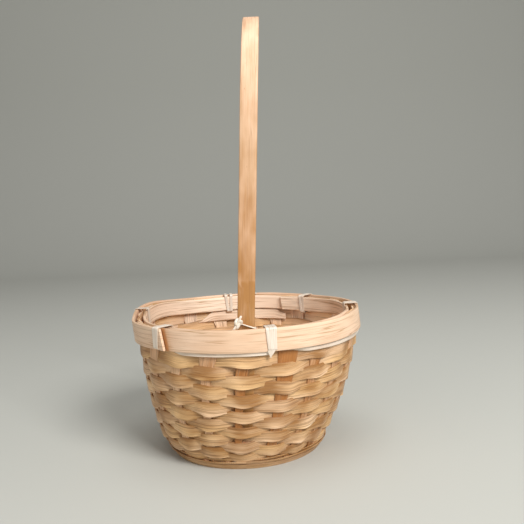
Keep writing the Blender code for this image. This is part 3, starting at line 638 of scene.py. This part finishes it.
def weaver_grid(count):
    """Points (count, across): wall point at level + across, moved along the normal by the wave,
    the twist times across, a slight crown, a lifted lower edge and half the thickness.

    The width is one row where the strip changes sides and grows like a tent to its full width
    near the stake; an outer stretch also hangs a little."""
    angle = angle_of(count)
    wave = count - SHAVED_PLACE
    level = weave_level(angle) + 0.00050 * wander(count * 0.9, 2.0) + 0.00055 * wander(count * 1.9, 6.0)
    _, slope = wall_normal(angle, level)
    stretch = np.sqrt(1 + slope**2)
    between = row_pitch(angle) * stretch + 0.0003 + 0.0009 * eased((level - 0.008) / 0.012)
    stake = np.round(wave)
    outside = stake % 2 == 0
    which = stake.astype(int) % STAKES
    near = tent(wave - stake, 0.17 * wander(stake * 2.7, 8.0) - 0.04)
    over = np.where(outside, OUTER_WIDTHS[which], WEAVER_WIDTH) * (1 + 0.10 * wander(stake * 2.1, 5.0))
    over = over + np.exp(-(((stake[:, None] - WIDTH_NOTES[:, 0]) / 0.1) ** 2)) @ WIDTH_NOTES[:, 1]
    over = between + np.maximum(over - between, 0.0006) * eased((level - 0.004) / 0.013)
    widths = between + (over - between) * near
    level = level - outside * near * (OUTER_HANG[which] + 0.0003 * wander(stake * 3.3, 1.0))
    # The last turn is wider upwards, as far as it takes to close the wall behind the hoops.
    short = HOOP_BOTTOM + 0.0022 + rim_lift(angle) - level - between / 2
    top = eased((count - WEAVE_LAST + STAKES) / 1.5) * np.maximum(short, 0.0024)
    level, widths = level + top / 2, widths + top
    twist = -0.10 + 0.05 * wander(count * 2.6, 9.0)
    twist = twist - WEAVER_TORSION * (1 + wander(count * 1.7, 12.0)) * np.sin(np.pi * wave)
    # Each outer stretch slants down to the right by its own small amount.
    slant = STRETCH_SLANT * (0.6 + wander(stake * 4.3, 14.0)) * outside
    level = level - slant * np.sin(2 * np.pi * (wave - stake))
    swing = WEAVER_SWING * over_under(wave, WAVE_SQUARENESS) - leg_space(wave, level)
    across_m = ACROSS * widths[:, None] / 2
    around = np.broadcast_to(angle[:, None], across_m.shape)
    height = level[:, None] + across_m / stretch[:, None]
    normal, _ = wall_normal(around, height)
    push = swing[:, None] + twist[:, None] * across_m + WEAVER_CROWN * (1 - ACROSS**2)
    push = push + (EDGE_LIFT * outside * near * lift_and_highlight(count))[:, None] * LOWER_EDGE
    push = push + DEPTH * WEAVER_THICKNESS / 2
    point = middle_at(height) + outward(around) * wall_radius(height)[..., None]
    return point + normal * push[..., None], across_m


def lift_and_highlight(count):
    """How far each stretch's lower edge stands off, and how strong its painted highlight is, from 0 to
    1.
    """
    return np.clip(0.35 + 0.9 * wander(count * 1.9, 7.0), 0, 1)


def weaver_tone(count):
    """Each splint has its own tone, which drifts along it; a few are listed. Lifted lower edges get a
    painted highlight, upper edges a painted shade, and the inner face is lighter again, with
    painted light towards the back of the last turn."""
    tone = 0.44 + 0.42 * wander(count * 1.37, 3.0) + 0.16 * wander(count * 4.1, 6.0)
    # Listed splints are lighter or darker, the lighter ones partly a painted highlight.
    nearness = np.exp(-(((count[:, None] - TONE_AND_HIGHLIGHT_NOTES[:, 0]) / 0.55) ** 2))
    tone = tone + nearness @ TONE_AND_HIGHLIGHT_NOTES[:, 1]
    # The inner face is paler; in the last turn it is painted paler still towards the back: painted light
    # on the lit inside of the back.
    inner = 0.45 + 0.9 * how_far_back(angle_of(count)) ** 2 * eased((count - 232) / 3)
    # Painted highlight on lifted lower edges, painted shade on upper edges.
    tone = tone[:, None] + 0.85 * lift_and_highlight(count)[:, None] * LOWER_EDGE - 0.40 * UPPER_EDGE_SHADE
    return tone + inner[:, None] * (DEPTH < 0)


# %% Wind the weavers
cuts = WEAVE_FIRST + 2 * np.round((WEAVE_LAST - WEAVE_FIRST) / 2 * np.arange(WEAVERS + 1) / WEAVERS)
for number, (first, last) in enumerate(zip(cuts[:-1], cuts[1:]), start=1):
    # The last one runs on for a little under the hoop.
    last = last + RUN_ON if number == WEAVERS else last
    count = np.linspace(first + 0.01, last - 0.01, int((last - first) * 16) + 1)
    grid, across_m = weaver_grid(count)
    build(f"fine_wall_weaver_{number}", grid, across_m, weaver_tone(count), tan,
          f"wall_weaver_{number}", skip=number * 2.3)
# One weaver's end lies loose inside the back, a little below the inner hoop.
END_FROM, END_TO, END_WIDTH, END_RADIUS, END_LEVEL = 155.0, 213.5, 0.0080, 0.0732, 0.0765
around = np.linspace(END_FROM, END_TO, 90)
share = np.linspace(0, 1, 90)
widths = END_WIDTH * np.minimum(0.6 + 0.4 * eased(share / 0.15), 0.06 + 0.94 * eased((1 - share) / 0.20))
radius = END_RADIUS - 0.0009 * np.exp(-(((around - 180) / 8) ** 2))
level = END_LEVEL + widths / 2 + 0.0002 * wander(share * 8, 1.0) + rim_lift(around)
path = ring_path(around, radius, level)
grid, across_m = ribbon(path, UP + 0 * path, -outward(around), widths, WEAVER_THICKNESS)
# Its tone of 1.8 pales it to near white: painted light on the lit inside of the back.
build("fine_weaver_end", grid, across_m, 1.8 + 0.15 * wander(share * 6, 4.0), pale, None)
print("weavers:", pieces_made[-WEAVERS - 1:])

# %% [markdown]
# ## The floor weaver and the rim weaver
# One narrow splint is woven flat round the floor, and a broad one stands upright between the
# hoops. Both are the same wave again, once up and down, once out and in.

# %% Floor weaver and rim weaver
FLOOR_WEAVER_RADIUS, FLOOR_WEAVER_WIDTH = 0.0468, 0.0042
FLOOR_SWING, RIM_SWING, FLAT_SQUARENESS = 0.0011, 0.0012, 1.6


def floor_angles():
    """Angle at which each splint crosses the floor weaver's circle, in the order of the stakes."""
    found = {EXTRA_STAKE: float(angle_of(EXTRA_STAKE))}
    shares = np.linspace(0, 1, 200)
    for pairs, way in ((FRONT_BACK_PAIRS, BACKWARD), (RIGHT_LEFT_PAIRS, LEFTWARD)):
        for lane, (near, far) in enumerate(pairs):
            for stake, turn in ((near, -1), (far, 1)):
                points, _ = fan_path(turn * (2 - lane) * MAT_SPACING, turn * way, stake, shares)
                flat = points - middle_at(0.0)
                radius = np.linalg.norm(flat[:, :2], axis=1)
                at = [np.interp(FLOOR_WEAVER_RADIUS, radius, flat[:, axis]) for axis in (0, 1)]
                angle = math.degrees(math.atan2(at[0], -at[1]))
                found[stake] = angle + 360 * round((float(angle_of(stake)) - angle) / 360)
    return np.array([found[stake] for stake in range(STAKES)])


count = np.linspace(-0.3, STAKES - 0.7, STAKES * 14)
angle = np.interp(count, np.arange(STAKES), floor_angles())
level = FLOOR_LEVEL - FLOOR_SWING * over_under(count, FLAT_SQUARENESS)
path = middle_at(0.0) + ring_path(angle, FLOOR_WEAVER_RADIUS, level)
grid, across_m = ribbon(path, outward(angle), -UP + 0 * path, FLOOR_WEAVER_WIDTH, WEAVER_THICKNESS)
build("fine_floor_weaver", grid, across_m, 0.5 + 0.2 * wander(count, 1.0), tan, "floor_weaver")

low, high = HOOP_BOTTOM + 0.0023, RIM_HEIGHT - 0.0010
count = np.linspace(0.75, STAKES + 0.25, STAKES * 14)
angle = angle_of(count)
radius = STAKE_RADIUS - RIM_SWING * over_under(count, FLAT_SQUARENESS)
path = ring_path(angle, radius, (low + high) / 2 + rim_lift(angle))
grid, across_m = ribbon(path, UP + 0 * path, -outward(angle), high - low, WEAVER_THICKNESS)
grid[..., 0] += lean_at(grid[..., 2])
build("fine_rim_weaver", grid, across_m, 0.85 + 0.2 * wander(count, 8.0), tan, "rim_weaver")
print("flat weavers:", pieces_made[-2:])

# %% [markdown]
# ## Rim hoops and foot hoop
# A hoop is one planed strip bent round until its last stretch lies over its own beginning. Its
# radius is constant, then eases outwards (inwards for the inner hoop) by one thickness where it
# climbs onto itself. The foot hoop is the same strip, tilted like the foot of the wall.

# %% Hoops
# How far a hoop stands off where it overlaps itself, and the degrees that it takes to get there.
HOOP_LAP, LAP_RAMP = 0.0021, 18
# The degrees before a hoop's end in which it springs off, and in which it is cut at a slant.
END_SPRING, END_CUT = 7, 9
OUTER_RADIUS, OUTER_START, OUTER_TURN = 0.0791, -65.0, 385.1
INNER_RADIUS, INNER_START, INNER_TURN = 0.0722, 131.0, 386.0


def hoop(name, radius, start, turn, lap, middle, height, seed, lift_end, slant=0.0, stain_and_shade=0.0,
         painted_light_back=0.0):
    """Middle line at radius(angle) and a nearly level height. The end springs off a little and is
    cut at a slant, and where the end lies over the strip it is painted darker and redder: a painted
    shadow under the end. Towards the back it can be painted paler, painted light on the lit inside
    of the back."""
    travelled = np.linspace(0, abs(turn), 420)
    angle = start + np.copysign(travelled, turn)
    shift = lap * eased((travelled - 360 + LAP_RAMP) / LAP_RAMP)
    shift = shift + lift_end * eased((travelled - abs(turn) + END_SPRING) / END_SPRING) ** 2
    shift = shift + 0.00018 * wander(travelled * 0.07, seed)
    level = middle + rim_lift(angle) + 0.00025 * wander(travelled * 0.045, seed + 3)
    path = ring_path(angle, radius + shift, level)
    heights = height * (1 + 0.012 * wander(travelled * 0.11, seed + 5))
    side = (UP + 0.02 * sideways(angle)) * np.sign(turn)
    grid, across_m = ribbon(path, side, -outward(angle), heights, HOOP_THICKNESS)
    back = np.radians(slant) * eased((travelled - abs(turn) + END_CUT) / END_CUT)[:, None] * ACROSS
    cosine, sine = np.cos(back), np.sin(back)
    x, y = grid[..., 0].copy(), grid[..., 1].copy()
    grid[..., 0], grid[..., 1] = x * cosine + y * sine, y * cosine - x * sine
    grid[..., 0] += lean_at(grid[..., 2])
    tone = 0.62 + 0.22 * wander(travelled * 0.05, seed + 7)
    # Painted light: paler towards the back, where the inside of the back is lit.
    tone = tone + painted_light_back * how_far_back(angle)
    # Painted shadow: darker and redder just past where the end lies over the strip.
    under = travelled - (abs(turn) - 360)
    under = under[:, None] - 0.4 + slant * ACROSS
    tone = tone[:, None] - stain_and_shade * np.exp(-((under / np.where(under > 0, 2.4, 2.0)) ** 2))
    build(name, grid, across_m, tone, pale, name.replace("fine_", ""), skip=seed)


# The outer hoop reaches 1.4 mm lower than its solid does, and cuts into the ties there.
hoop("fine_outer_hoop", OUTER_RADIUS, OUTER_START, OUTER_TURN, HOOP_LAP, RIM_HEIGHT - 0.0072,
     HOOP_HEIGHT + 0.0014, 1.0, 0.0006, slant=0.6, stain_and_shade=1.9)
hoop("fine_inner_hoop", INNER_RADIUS, INNER_START, INNER_TURN, -HOOP_LAP, 0.0903, 0.0110, 2.0, -0.0003,
     painted_light_back=1.5)

FOOT_HEIGHT, FOOT_FLARE, FOOT_THICKNESS, FOOT_BOTTOM = 0.0044, 0.0028, 0.0012, 0.05197
foot_length = math.hypot(FOOT_HEIGHT, FOOT_FLARE)
foot_rise, foot_out = FOOT_HEIGHT / foot_length, FOOT_FLARE / foot_length
angle = np.linspace(0, 360, 241)[:-1]
foot_radius = FOOT_BOTTOM + FOOT_FLARE / 2 + FOOT_THICKNESS / 2
path = middle_at(0.0) + ring_path(angle, foot_radius, FOOT_HEIGHT / 2)
side = UP * foot_rise + outward(angle) * foot_out
normal = outward(angle) * foot_rise - UP * foot_out
foot_width = (FOOT_HEIGHT - FOOT_THICKNESS * foot_out) / foot_rise
grid, across_m = ribbon(path, side, -normal, foot_width, FOOT_THICKNESS)
grid[..., 2] -= grid[..., 2].min()
turns = np.round(angle) / 360 * 2 * np.pi
build("fine_foot_hoop", grid, across_m, 0.40 + 0.2 * np.sin(3 * turns) * np.sin(5 * turns + 1), tan,
      "foot_hoop", ring=True)
# Narrow strands laid over the stakes' bend, each slightly uneven: height, radius and width.
FOOT_STRANDS = [(0.0050, 0.0566, 0.0017), (0.0066, 0.0560, 0.0021)]
for number, (level, radius, width) in enumerate(FOOT_STRANDS, start=1):
    high = level + 0.00030 * np.sin(2 * turns + number) + 0.00018 * np.sin(7 * turns + 2 * number)
    path = middle_at(0.0) + ring_path(angle, radius, high)
    grid, across_m = ribbon(path, side, -normal, width, WEAVER_THICKNESS)
    tone = 0.45 + 0.25 * np.sin(4 * turns + number)
    build(f"fine_foot_strand_{number}", grid, across_m, tone, tan, None, ring=True, skip=number)
print("hoops:", pieces_made[-5:])

# %% [markdown]
# ## The handle
# The handle is a single strip, steamed and bent: two straight legs and a half circle over them.
# Its legs lie inside the wall, between a stake and the weavers. The path follows the wall below
# the rim, rises straight above it, leans a little to the right and turns over the top.

# %% Handle
HANDLE_HEIGHT, HANDLE_WIDTH, HANDLE_THICKNESS = 0.2975, 0.0106, 0.0018
LEG_OFFSET, LEG_AT_RIM, HANDLE_LEAN = 0.0018, 0.0005, 0.0131
# A joint of the bamboo cane crosses both legs at about this height, and it is browner below.
CANE_JOINT = 0.1235
LEG_RADIUS = STAKE_RADIUS - LEG_OFFSET
SPRING = HANDLE_HEIGHT - HANDLE_THICKNESS / 2 - LEG_RADIUS
LEAN_SLOPE = HANDLE_LEAN / (HANDLE_HEIGHT - HOOP_BOTTOM)


def leg_below_rim(stake):
    """A leg's middle line from its foot to the rim, easing sideways towards the handle's plane."""
    level = np.linspace(HANDLE_FOOT, HOOP_BOTTOM, 30)
    around = np.full_like(level, float(angle_of(stake)))
    normal, _ = wall_normal(around, level)
    line = middle_at(level) + outward(around) * wall_radius(level)[:, None] - normal * LEG_OFFSET
    share = (level - HANDLE_FOOT) / (HOOP_BOTTOM - HANDLE_FOOT)
    line[:, 0] += (LEG_AT_RIM - line[:, 0]) * share**2
    return line


rise = np.linspace(HOOP_BOTTOM, SPRING, 60)[1:]
bend = np.linspace(0, np.pi, 90)[1:-1]
level = np.concatenate([rise, SPRING + LEG_RADIUS * np.sin(bend), rise[::-1]])
depth = np.concatenate([-LEG_RADIUS + 0 * rise, -LEG_RADIUS * np.cos(bend), LEG_RADIUS + 0 * rise])
bow = np.stack([LEG_AT_RIM + LEAN_SLOPE * (level - HOOP_BOTTOM), depth, level], -1)
path = np.concatenate([leg_below_rim(0), bow, leg_below_rim(11)[::-1]])
tangent = unit(np.gradient(path, axis=0))
side = unit(np.array([1.0, 0.0, 0.0]) - tangent * tangent[:, :1])
normal = np.cross(tangent, side)
travelled = lengths_along(path)
widths = HANDLE_WIDTH * (1 + 0.012 * wander(travelled * 30, 1.0))
above = path[:, 2] - CANE_JOINT
thick = HANDLE_THICKNESS + 0.0003 * np.exp(-((above / 0.0016) ** 2))
grid, across_m = ribbon(path, side, -normal, widths, thick)
# Paler towards the top: painted light from above.
tone = 0.24 + 0.70 * eased((path[:, 2] - 0.12) / 0.17) + 0.05 * wander(travelled * 40, 2.0)
ragged = above[:, None] + 0.0012 * np.sin(ACROSS * 7) + 0.0007 * np.sin(ACROSS * 19 + 1)
tone = tone[:, None] - 0.24 * (1 - eased(ragged / 0.002)) - 0.2 * np.exp(-((ragged / 0.0009) ** 2))
build("fine_handle", grid, across_m, tone, handle_finish, "handle")
print("handle:", pieces_made[-1], "length", round(travelled[-1], 3))

# %% [markdown]
# ## White binding
# A thin white strip is wound two or three times round both hoops at six places, and runs under
# the outer hoop from each tie to the next. A tie is one strip on a path that goes round the rim's
# section and moves sideways as it winds, so its turns lie side by side and fan out at the top.

# %% Ties
TIE_ANGLES = [11.9, 92.9, 141.0, 192.3, 266.5, 316.5]
# For each tie: number of turns, sideways step of a turn, lean, and how much it fans out at the top.
TIE_FORMS = [(3, 0.0020, -0.0002, 0.16), (3, 0.0022, 0.0005, 0.1), (2, 0.0021, 0.0002, 0.2),
             (2, 0.0034, 0.0000, 0.30), (2, 0.0022, 0.0003, 0.1), (3, 0.0015, -0.0010, 0.25)]
TIE_THICKNESS, STRAND_WIDTH, TIE_ROOM, TIE_CORNER = 0.0004, 0.0022, 0.0004, 0.0010
# Where on its loop a tie begins, as a share, and how much its end lies over its beginning.
TIE_BEGIN, TIE_OVERLAY = 0.62, 0.00016


def lap_at(angle, start, turn):
    """How far a hoop stands off at an angle where it overlaps itself."""
    travelled = (np.copysign(1, turn) * (angle - start)) % 360
    over = travelled <= abs(turn) - 360
    return HOOP_LAP * np.where(over, 1.0, eased((travelled - 360 + LAP_RAMP) / LAP_RAMP))


def rim_section_loop(inner, outer, low, high, corner, share):
    """Radius and height on a rounded rectangle, by share of its way round, as four joined arcs."""
    quarter = np.radians(np.linspace(0, 90, 7))
    corners = [(outer - corner, high - corner, 0), (inner + corner, high - corner, 90),
               (inner + corner, low + corner, 180), (outer - corner, low + corner, 270)]
    radius = np.concatenate([r + corner * np.cos(quarter + math.radians(a)) for r, _, a in corners])
    level = np.concatenate([z + corner * np.sin(quarter + math.radians(a)) for _, z, a in corners])
    radius, level = np.append(radius, radius[0]), np.append(level, level[0])
    steps = np.concatenate([[0], np.cumsum(np.hypot(np.diff(radius), np.diff(level)))])
    place = (share % 1) * steps[-1]
    return np.interp(place, steps, radius), np.interp(place, steps, level)


def tie(number, angle, turns, step, lean, fan):
    """A helix round the rim: sideways = step times turns done, wider at the top by fan."""
    wound = np.linspace(0, turns, turns * 96 + 1)
    inner = INNER_RADIUS - HOOP_THICKNESS / 2 - TIE_ROOM - float(lap_at(angle, INNER_START, INNER_TURN))
    outer = RIM_RADIUS + TIE_ROOM + float(lap_at(angle, OUTER_START, OUTER_TURN))
    low, high = HOOP_BOTTOM - TIE_ROOM, RIM_HEIGHT + TIE_ROOM
    radius, level = rim_section_loop(inner, outer, low, high, TIE_CORNER, wound + TIE_BEGIN)
    height = (level - (HOOP_BOTTOM + RIM_HEIGHT) / 2) / (HOOP_HEIGHT / 2)
    aside = (wound - turns / 2) * step * (1 + fan * height) - lean * height
    ahead = sideways(angle)
    path = outward(angle) * radius[:, None] + ahead * aside[:, None]
    path = path + UP * (level + rim_lift(angle))[:, None]
    path[:, 0] += lean_at(path[:, 2])
    tangent = unit(np.gradient(path, axis=0))
    side = unit(ahead - tangent * (tangent @ ahead)[:, None])
    normal = np.cross(tangent, side)
    path = path - normal * (TIE_OVERLAY * wound / turns)[:, None]
    widths = STRAND_WIDTH * (1 + 0.08 * wander(wound * 5, number))
    grid, across_m = ribbon(path, side, -normal, widths, TIE_THICKNESS)
    tone = 0.75 + 0.25 * wander(wound * 3, number)
    build(f"fine_rim_tie_{number}", grid, across_m, tone, white, f"rim_tie_{number}", skip=number * 1.3)


for number, (angle, form) in enumerate(zip(TIE_ANGLES, TIE_FORMS), start=1):
    tie(number, angle, *form)
# The front tie ends in a short pointed tail below the hoop.
share = np.linspace(0, 1, 20)
around = TIE_ANGLES[0] - 0.3 - 0.5 * share
level = HOOP_BOTTOM - 0.0002 - 0.0046 * share
path = ring_path(around, RIM_RADIUS + TIE_ROOM - 0.0006 * share, level)
widths = 0.0048 * (1 - 0.8 * eased(share))
grid, across_m = ribbon(path, -sideways(around), -outward(around), widths, TIE_THICKNESS)
build("fine_rim_tie_1_tail", grid, across_m, 0.7 + 0.2 * wander(share * 4, 2.0), white, None)
print("ties:", pieces_made[-7:])

# %% Binder under the outer hoop
BINDER_HEIGHT, BINDER_THICKNESS, BINDER_RADIUS, BINDER_DROP = 0.0026, 0.0004, 0.0784, 0.0008
# How far each run hangs below the hoop between its ties. It leaves each tie turned on edge, and
# the left one stays so, tucked up under the hoop.
BINDER_SAGS = [0.0011, 0.0002, 0.0003, 0.0003, 0.0002, 0.0002]
BINDER_ROLLS = [0.0, 0.0, 0.0, 0.0, 1.2, 0.0]
for number, angle in enumerate(TIE_ANGLES, start=1):
    end = TIE_ANGLES[number % len(TIE_ANGLES)]
    end += 360 if end < angle else 0
    share = np.linspace(0, 1, 120)
    around = angle + 1.5 + (end - angle - 3.0) * share
    hang = BINDER_SAGS[number - 1] * np.sin(np.pi * share)
    roll = np.maximum(1.25 * (1 - eased((share - 0.06) / 0.2)), BINDER_ROLLS[number - 1])
    roll = roll + 0.2 * wander(share * 7, number + 2.0)
    level = HOOP_BOTTOM - BINDER_DROP - BINDER_HEIGHT / 2 * np.cos(roll) - hang + rim_lift(around)
    radius = BINDER_RADIUS + 0.0002 * wander(share * 9, number)
    path = ring_path(around, radius, level)
    path[:, 0] += lean_at(level)
    roll = roll[:, None]
    side = UP * np.cos(roll) + outward(around) * np.sin(roll)
    normal = outward(around) * np.cos(roll) - UP * np.sin(roll)
    grid, across_m = ribbon(path, side, -normal, BINDER_HEIGHT, BINDER_THICKNESS)
    build(f"fine_binder_run_{number}", grid, across_m, 0.6 + 0.3 * wander(share * 8, number), white,
          f"binder_run_{number}", skip=number)
print("binder runs:", pieces_made[-6:])

# %% [markdown]
# ## Lashings
# Each handle leg is tied at the rim with a twisted white cord that ends in a knot and two loose
# tails. The knot is a real one: a trefoil, pressed flat. A round cord needs frames along its path;
# the direction away from the knot's middle serves well, because the path never runs through it.

# %% Cords and knots
LOOP_CORD, KNOT_CORD, CORD_ROOM, LOOP_SLOPE = 0.00042, 0.00085, 0.0006, 0.36
LOOP_SQUARENESS = 1.8
KNOT_SCALE = np.array([0.00060, 0.00095, 0.0006])
# For each tail: its start and end, right and up from the knot, and its radius.
TAILS = [((0.0006, 0.0020), (0.0022, 0.0044), 0.0009),
         ((-0.0008, -0.0015), (-0.0034, -0.0044), 0.0009),
         ((0.0010, 0.0000), (0.0112, -0.0040), 0.00034)]


def cord_grid(path, radius, away, sides=10, flat=1.0):
    """A round section carried along a path: away is turned square to the path at each point."""
    tangent = unit(np.gradient(path, axis=0))
    first = unit(away - tangent * np.sum(away * tangent, axis=1, keepdims=True))
    second = np.cross(tangent, first)
    turn = np.linspace(0, 2 * np.pi, sides + 1)[:-1]
    radius = np.broadcast_to(np.asarray(radius, float), (len(path),))[:, None, None]
    ring = first[:, None] * np.cos(turn)[:, None] * flat + second[:, None] * np.sin(turn)[:, None]
    across_m = np.broadcast_to(turn / (2 * np.pi) * 0.003, (len(path), sides))
    return path[:, None] + ring * radius, across_m


def lashing(name, facing):
    """Loop round the leg, then the trefoil knot at its left, (sin t + 2 sin 2t, cos t - 2 cos 2t,
    -sin 3t), and its three tails, each a piece of its own."""
    level = RIM_HEIGHT + 0.0020
    middle = np.array([LEG_AT_RIM + LEAN_SLOPE * (level - HOOP_BOTTOM), -LEG_RADIUS * facing, level])
    right, out = np.array([1.0, 0, 0]), np.array([0, -float(facing), 0])
    turn = np.linspace(0, 2 * np.pi, 49)
    wide, deep = HANDLE_WIDTH / 2 + CORD_ROOM, HANDLE_THICKNESS / 2 + CORD_ROOM
    loop_x = wide * np.tanh(LOOP_SQUARENESS * np.cos(turn)) / math.tanh(LOOP_SQUARENESS)
    loop_y = deep * np.tanh(LOOP_SQUARENESS * np.sin(turn)) / math.tanh(LOOP_SQUARENESS)
    loop = middle + right * loop_x[:, None] + out * loop_y[:, None] - UP * (loop_x * LOOP_SLOPE)[:, None]
    grid, across_m = cord_grid(loop, LOOP_CORD, loop - middle)
    build(name, grid[:-1], across_m[:-1], 0.7 + 0 * turn[:-1], white, name.replace("fine_", ""),
          ring=True)
    knot_at = middle - right * wide * 0.80 + out * (deep + 0.0012) + UP * 0.0017
    turn = np.linspace(0, 2 * np.pi, 121)[:-1]
    knot = np.stack([np.sin(turn) + 2 * np.sin(2 * turn), np.cos(turn) - 2 * np.cos(2 * turn),
                     -np.sin(3 * turn)], -1) * KNOT_SCALE
    long_way, short_way = right * 0.42 + UP * 0.91, right * 0.91 - UP * 0.42
    path = knot_at + knot[:, :1] * short_way + knot[:, 1:2] * long_way + knot[:, 2:] * out
    thick = KNOT_CORD * (1 + 0.15 * wander(turn * 3, facing))
    grid, across_m = cord_grid(path, thick, path - knot_at, flat=1.2)
    build(name + "_knot", grid, across_m, 0.85 + 0 * turn, white, None, ring=True)
    share = np.linspace(0, 1, 24)
    for number, (first, last, radius) in enumerate(TAILS, start=1):
        start = knot_at + right * first[0] + UP * first[1] - out * 0.0002
        end = knot_at + right * last[0] + UP * last[1]
        path = start + (end - start) * share[:, None] + out * (0.0006 * np.sin(np.pi * share))[:, None]
        taper = radius * (1 - 0.35 * share + 0.1 * wander(share * 9, number))
        grid, across_m = cord_grid(path, taper, out + 0 * path, flat=0.5 if number < 3 else 1.0)
        build(f"{name}_tail_{number}", grid, across_m, 0.85 + 0 * share, white, None)


lashing("fine_front_lashing", 1)
lashing("fine_back_lashing", -1)
print("lashings:", pieces_made[-10:])

# %% [markdown]
# ## Floor, light and background
# The basket stands on a pale sheet that curves up behind it. Three broad soft lamps and an even
# pale sky light it plainly, strong enough that a colour renders about as it is written.

# %% Stage and light
STAGE_COLOUR = (0.50, 0.50, 0.455)
across = np.linspace(-3.0, 3.0, 3)
bend = np.linspace(0, np.pi / 2, 24)
profile_y = np.concatenate([[-3.0], 1.2 + 0.6 * np.sin(bend), [1.8]])
profile_z = np.concatenate([[0.0], 0.6 * (1 - np.cos(bend)), [3.0]])
points = np.stack([np.repeat(across, len(profile_y)), np.tile(profile_y, 3), np.tile(profile_z, 3)], -1)
index = np.arange(len(points)).reshape(3, -1)
quads = np.stack([index[:-1, :-1], index[1:, :-1], index[1:, 1:], index[:-1, 1:]], -1).reshape(-1, 4)
sheet = bpy.data.meshes.new("pale_floor")
sheet.from_pydata(points, [], quads.tolist())
sheet.shade_smooth()
paper = bpy.data.materials.new("pale_paper")
paper.use_nodes = True
paper.node_tree.nodes["Principled BSDF"].inputs["Base Color"].default_value = (*STAGE_COLOUR, 1)
paper.node_tree.nodes["Principled BSDF"].inputs["Roughness"].default_value = 0.9
sheet.materials.append(paper)
floor = bpy.data.objects.new("pale_floor", sheet)
bpy.context.scene.collection.objects.link(floor)
floor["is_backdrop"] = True

AIM = Vector((0, 0, 0.10))
# For each lamp: where it hangs, how broad it is in metres, and its watts.
LAMPS = [("key", (0.65, -1.00, 0.98), 0.6, 23.5), ("fill", (-1.1, -0.9, 0.60), 1.2, 3.0),
         ("top", (0.0, -0.1, 1.5), 0.8, 6.0)]
SKY_STRENGTH = 0.30
for name, place, size, watts in LAMPS:
    lamp = bpy.data.lights.new(name, "AREA")
    lamp.size, lamp.energy = size, watts
    holder = bpy.data.objects.new(name, lamp)
    holder.location = place
    holder.rotation_euler = (AIM - Vector(place)).to_track_quat("-Z", "Y").to_euler()
    bpy.context.scene.collection.objects.link(holder)
sky = bpy.data.worlds.new("pale_sky")
bpy.context.scene.world = sky
sky.use_nodes = True
sky.node_tree.nodes["Background"].inputs["Color"].default_value = (1.0, 1.0, 1.0, 1)
sky.node_tree.nodes["Background"].inputs["Strength"].default_value = SKY_STRENGTH
bpy.context.scene.view_settings.view_transform = "Standard"
print("pieces:", len(pieces_made), "faces:", sum(count for _, count in pieces_made))

# %% [markdown]
# ## Sizes for the record
# The fine surfaces should stay inside the box of the solids, give or take a little, so the box of
# everything shown is printed.

# %% Print the box
low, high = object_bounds()
print("box now:", [round(v, 4) for v in (*low, *high)])
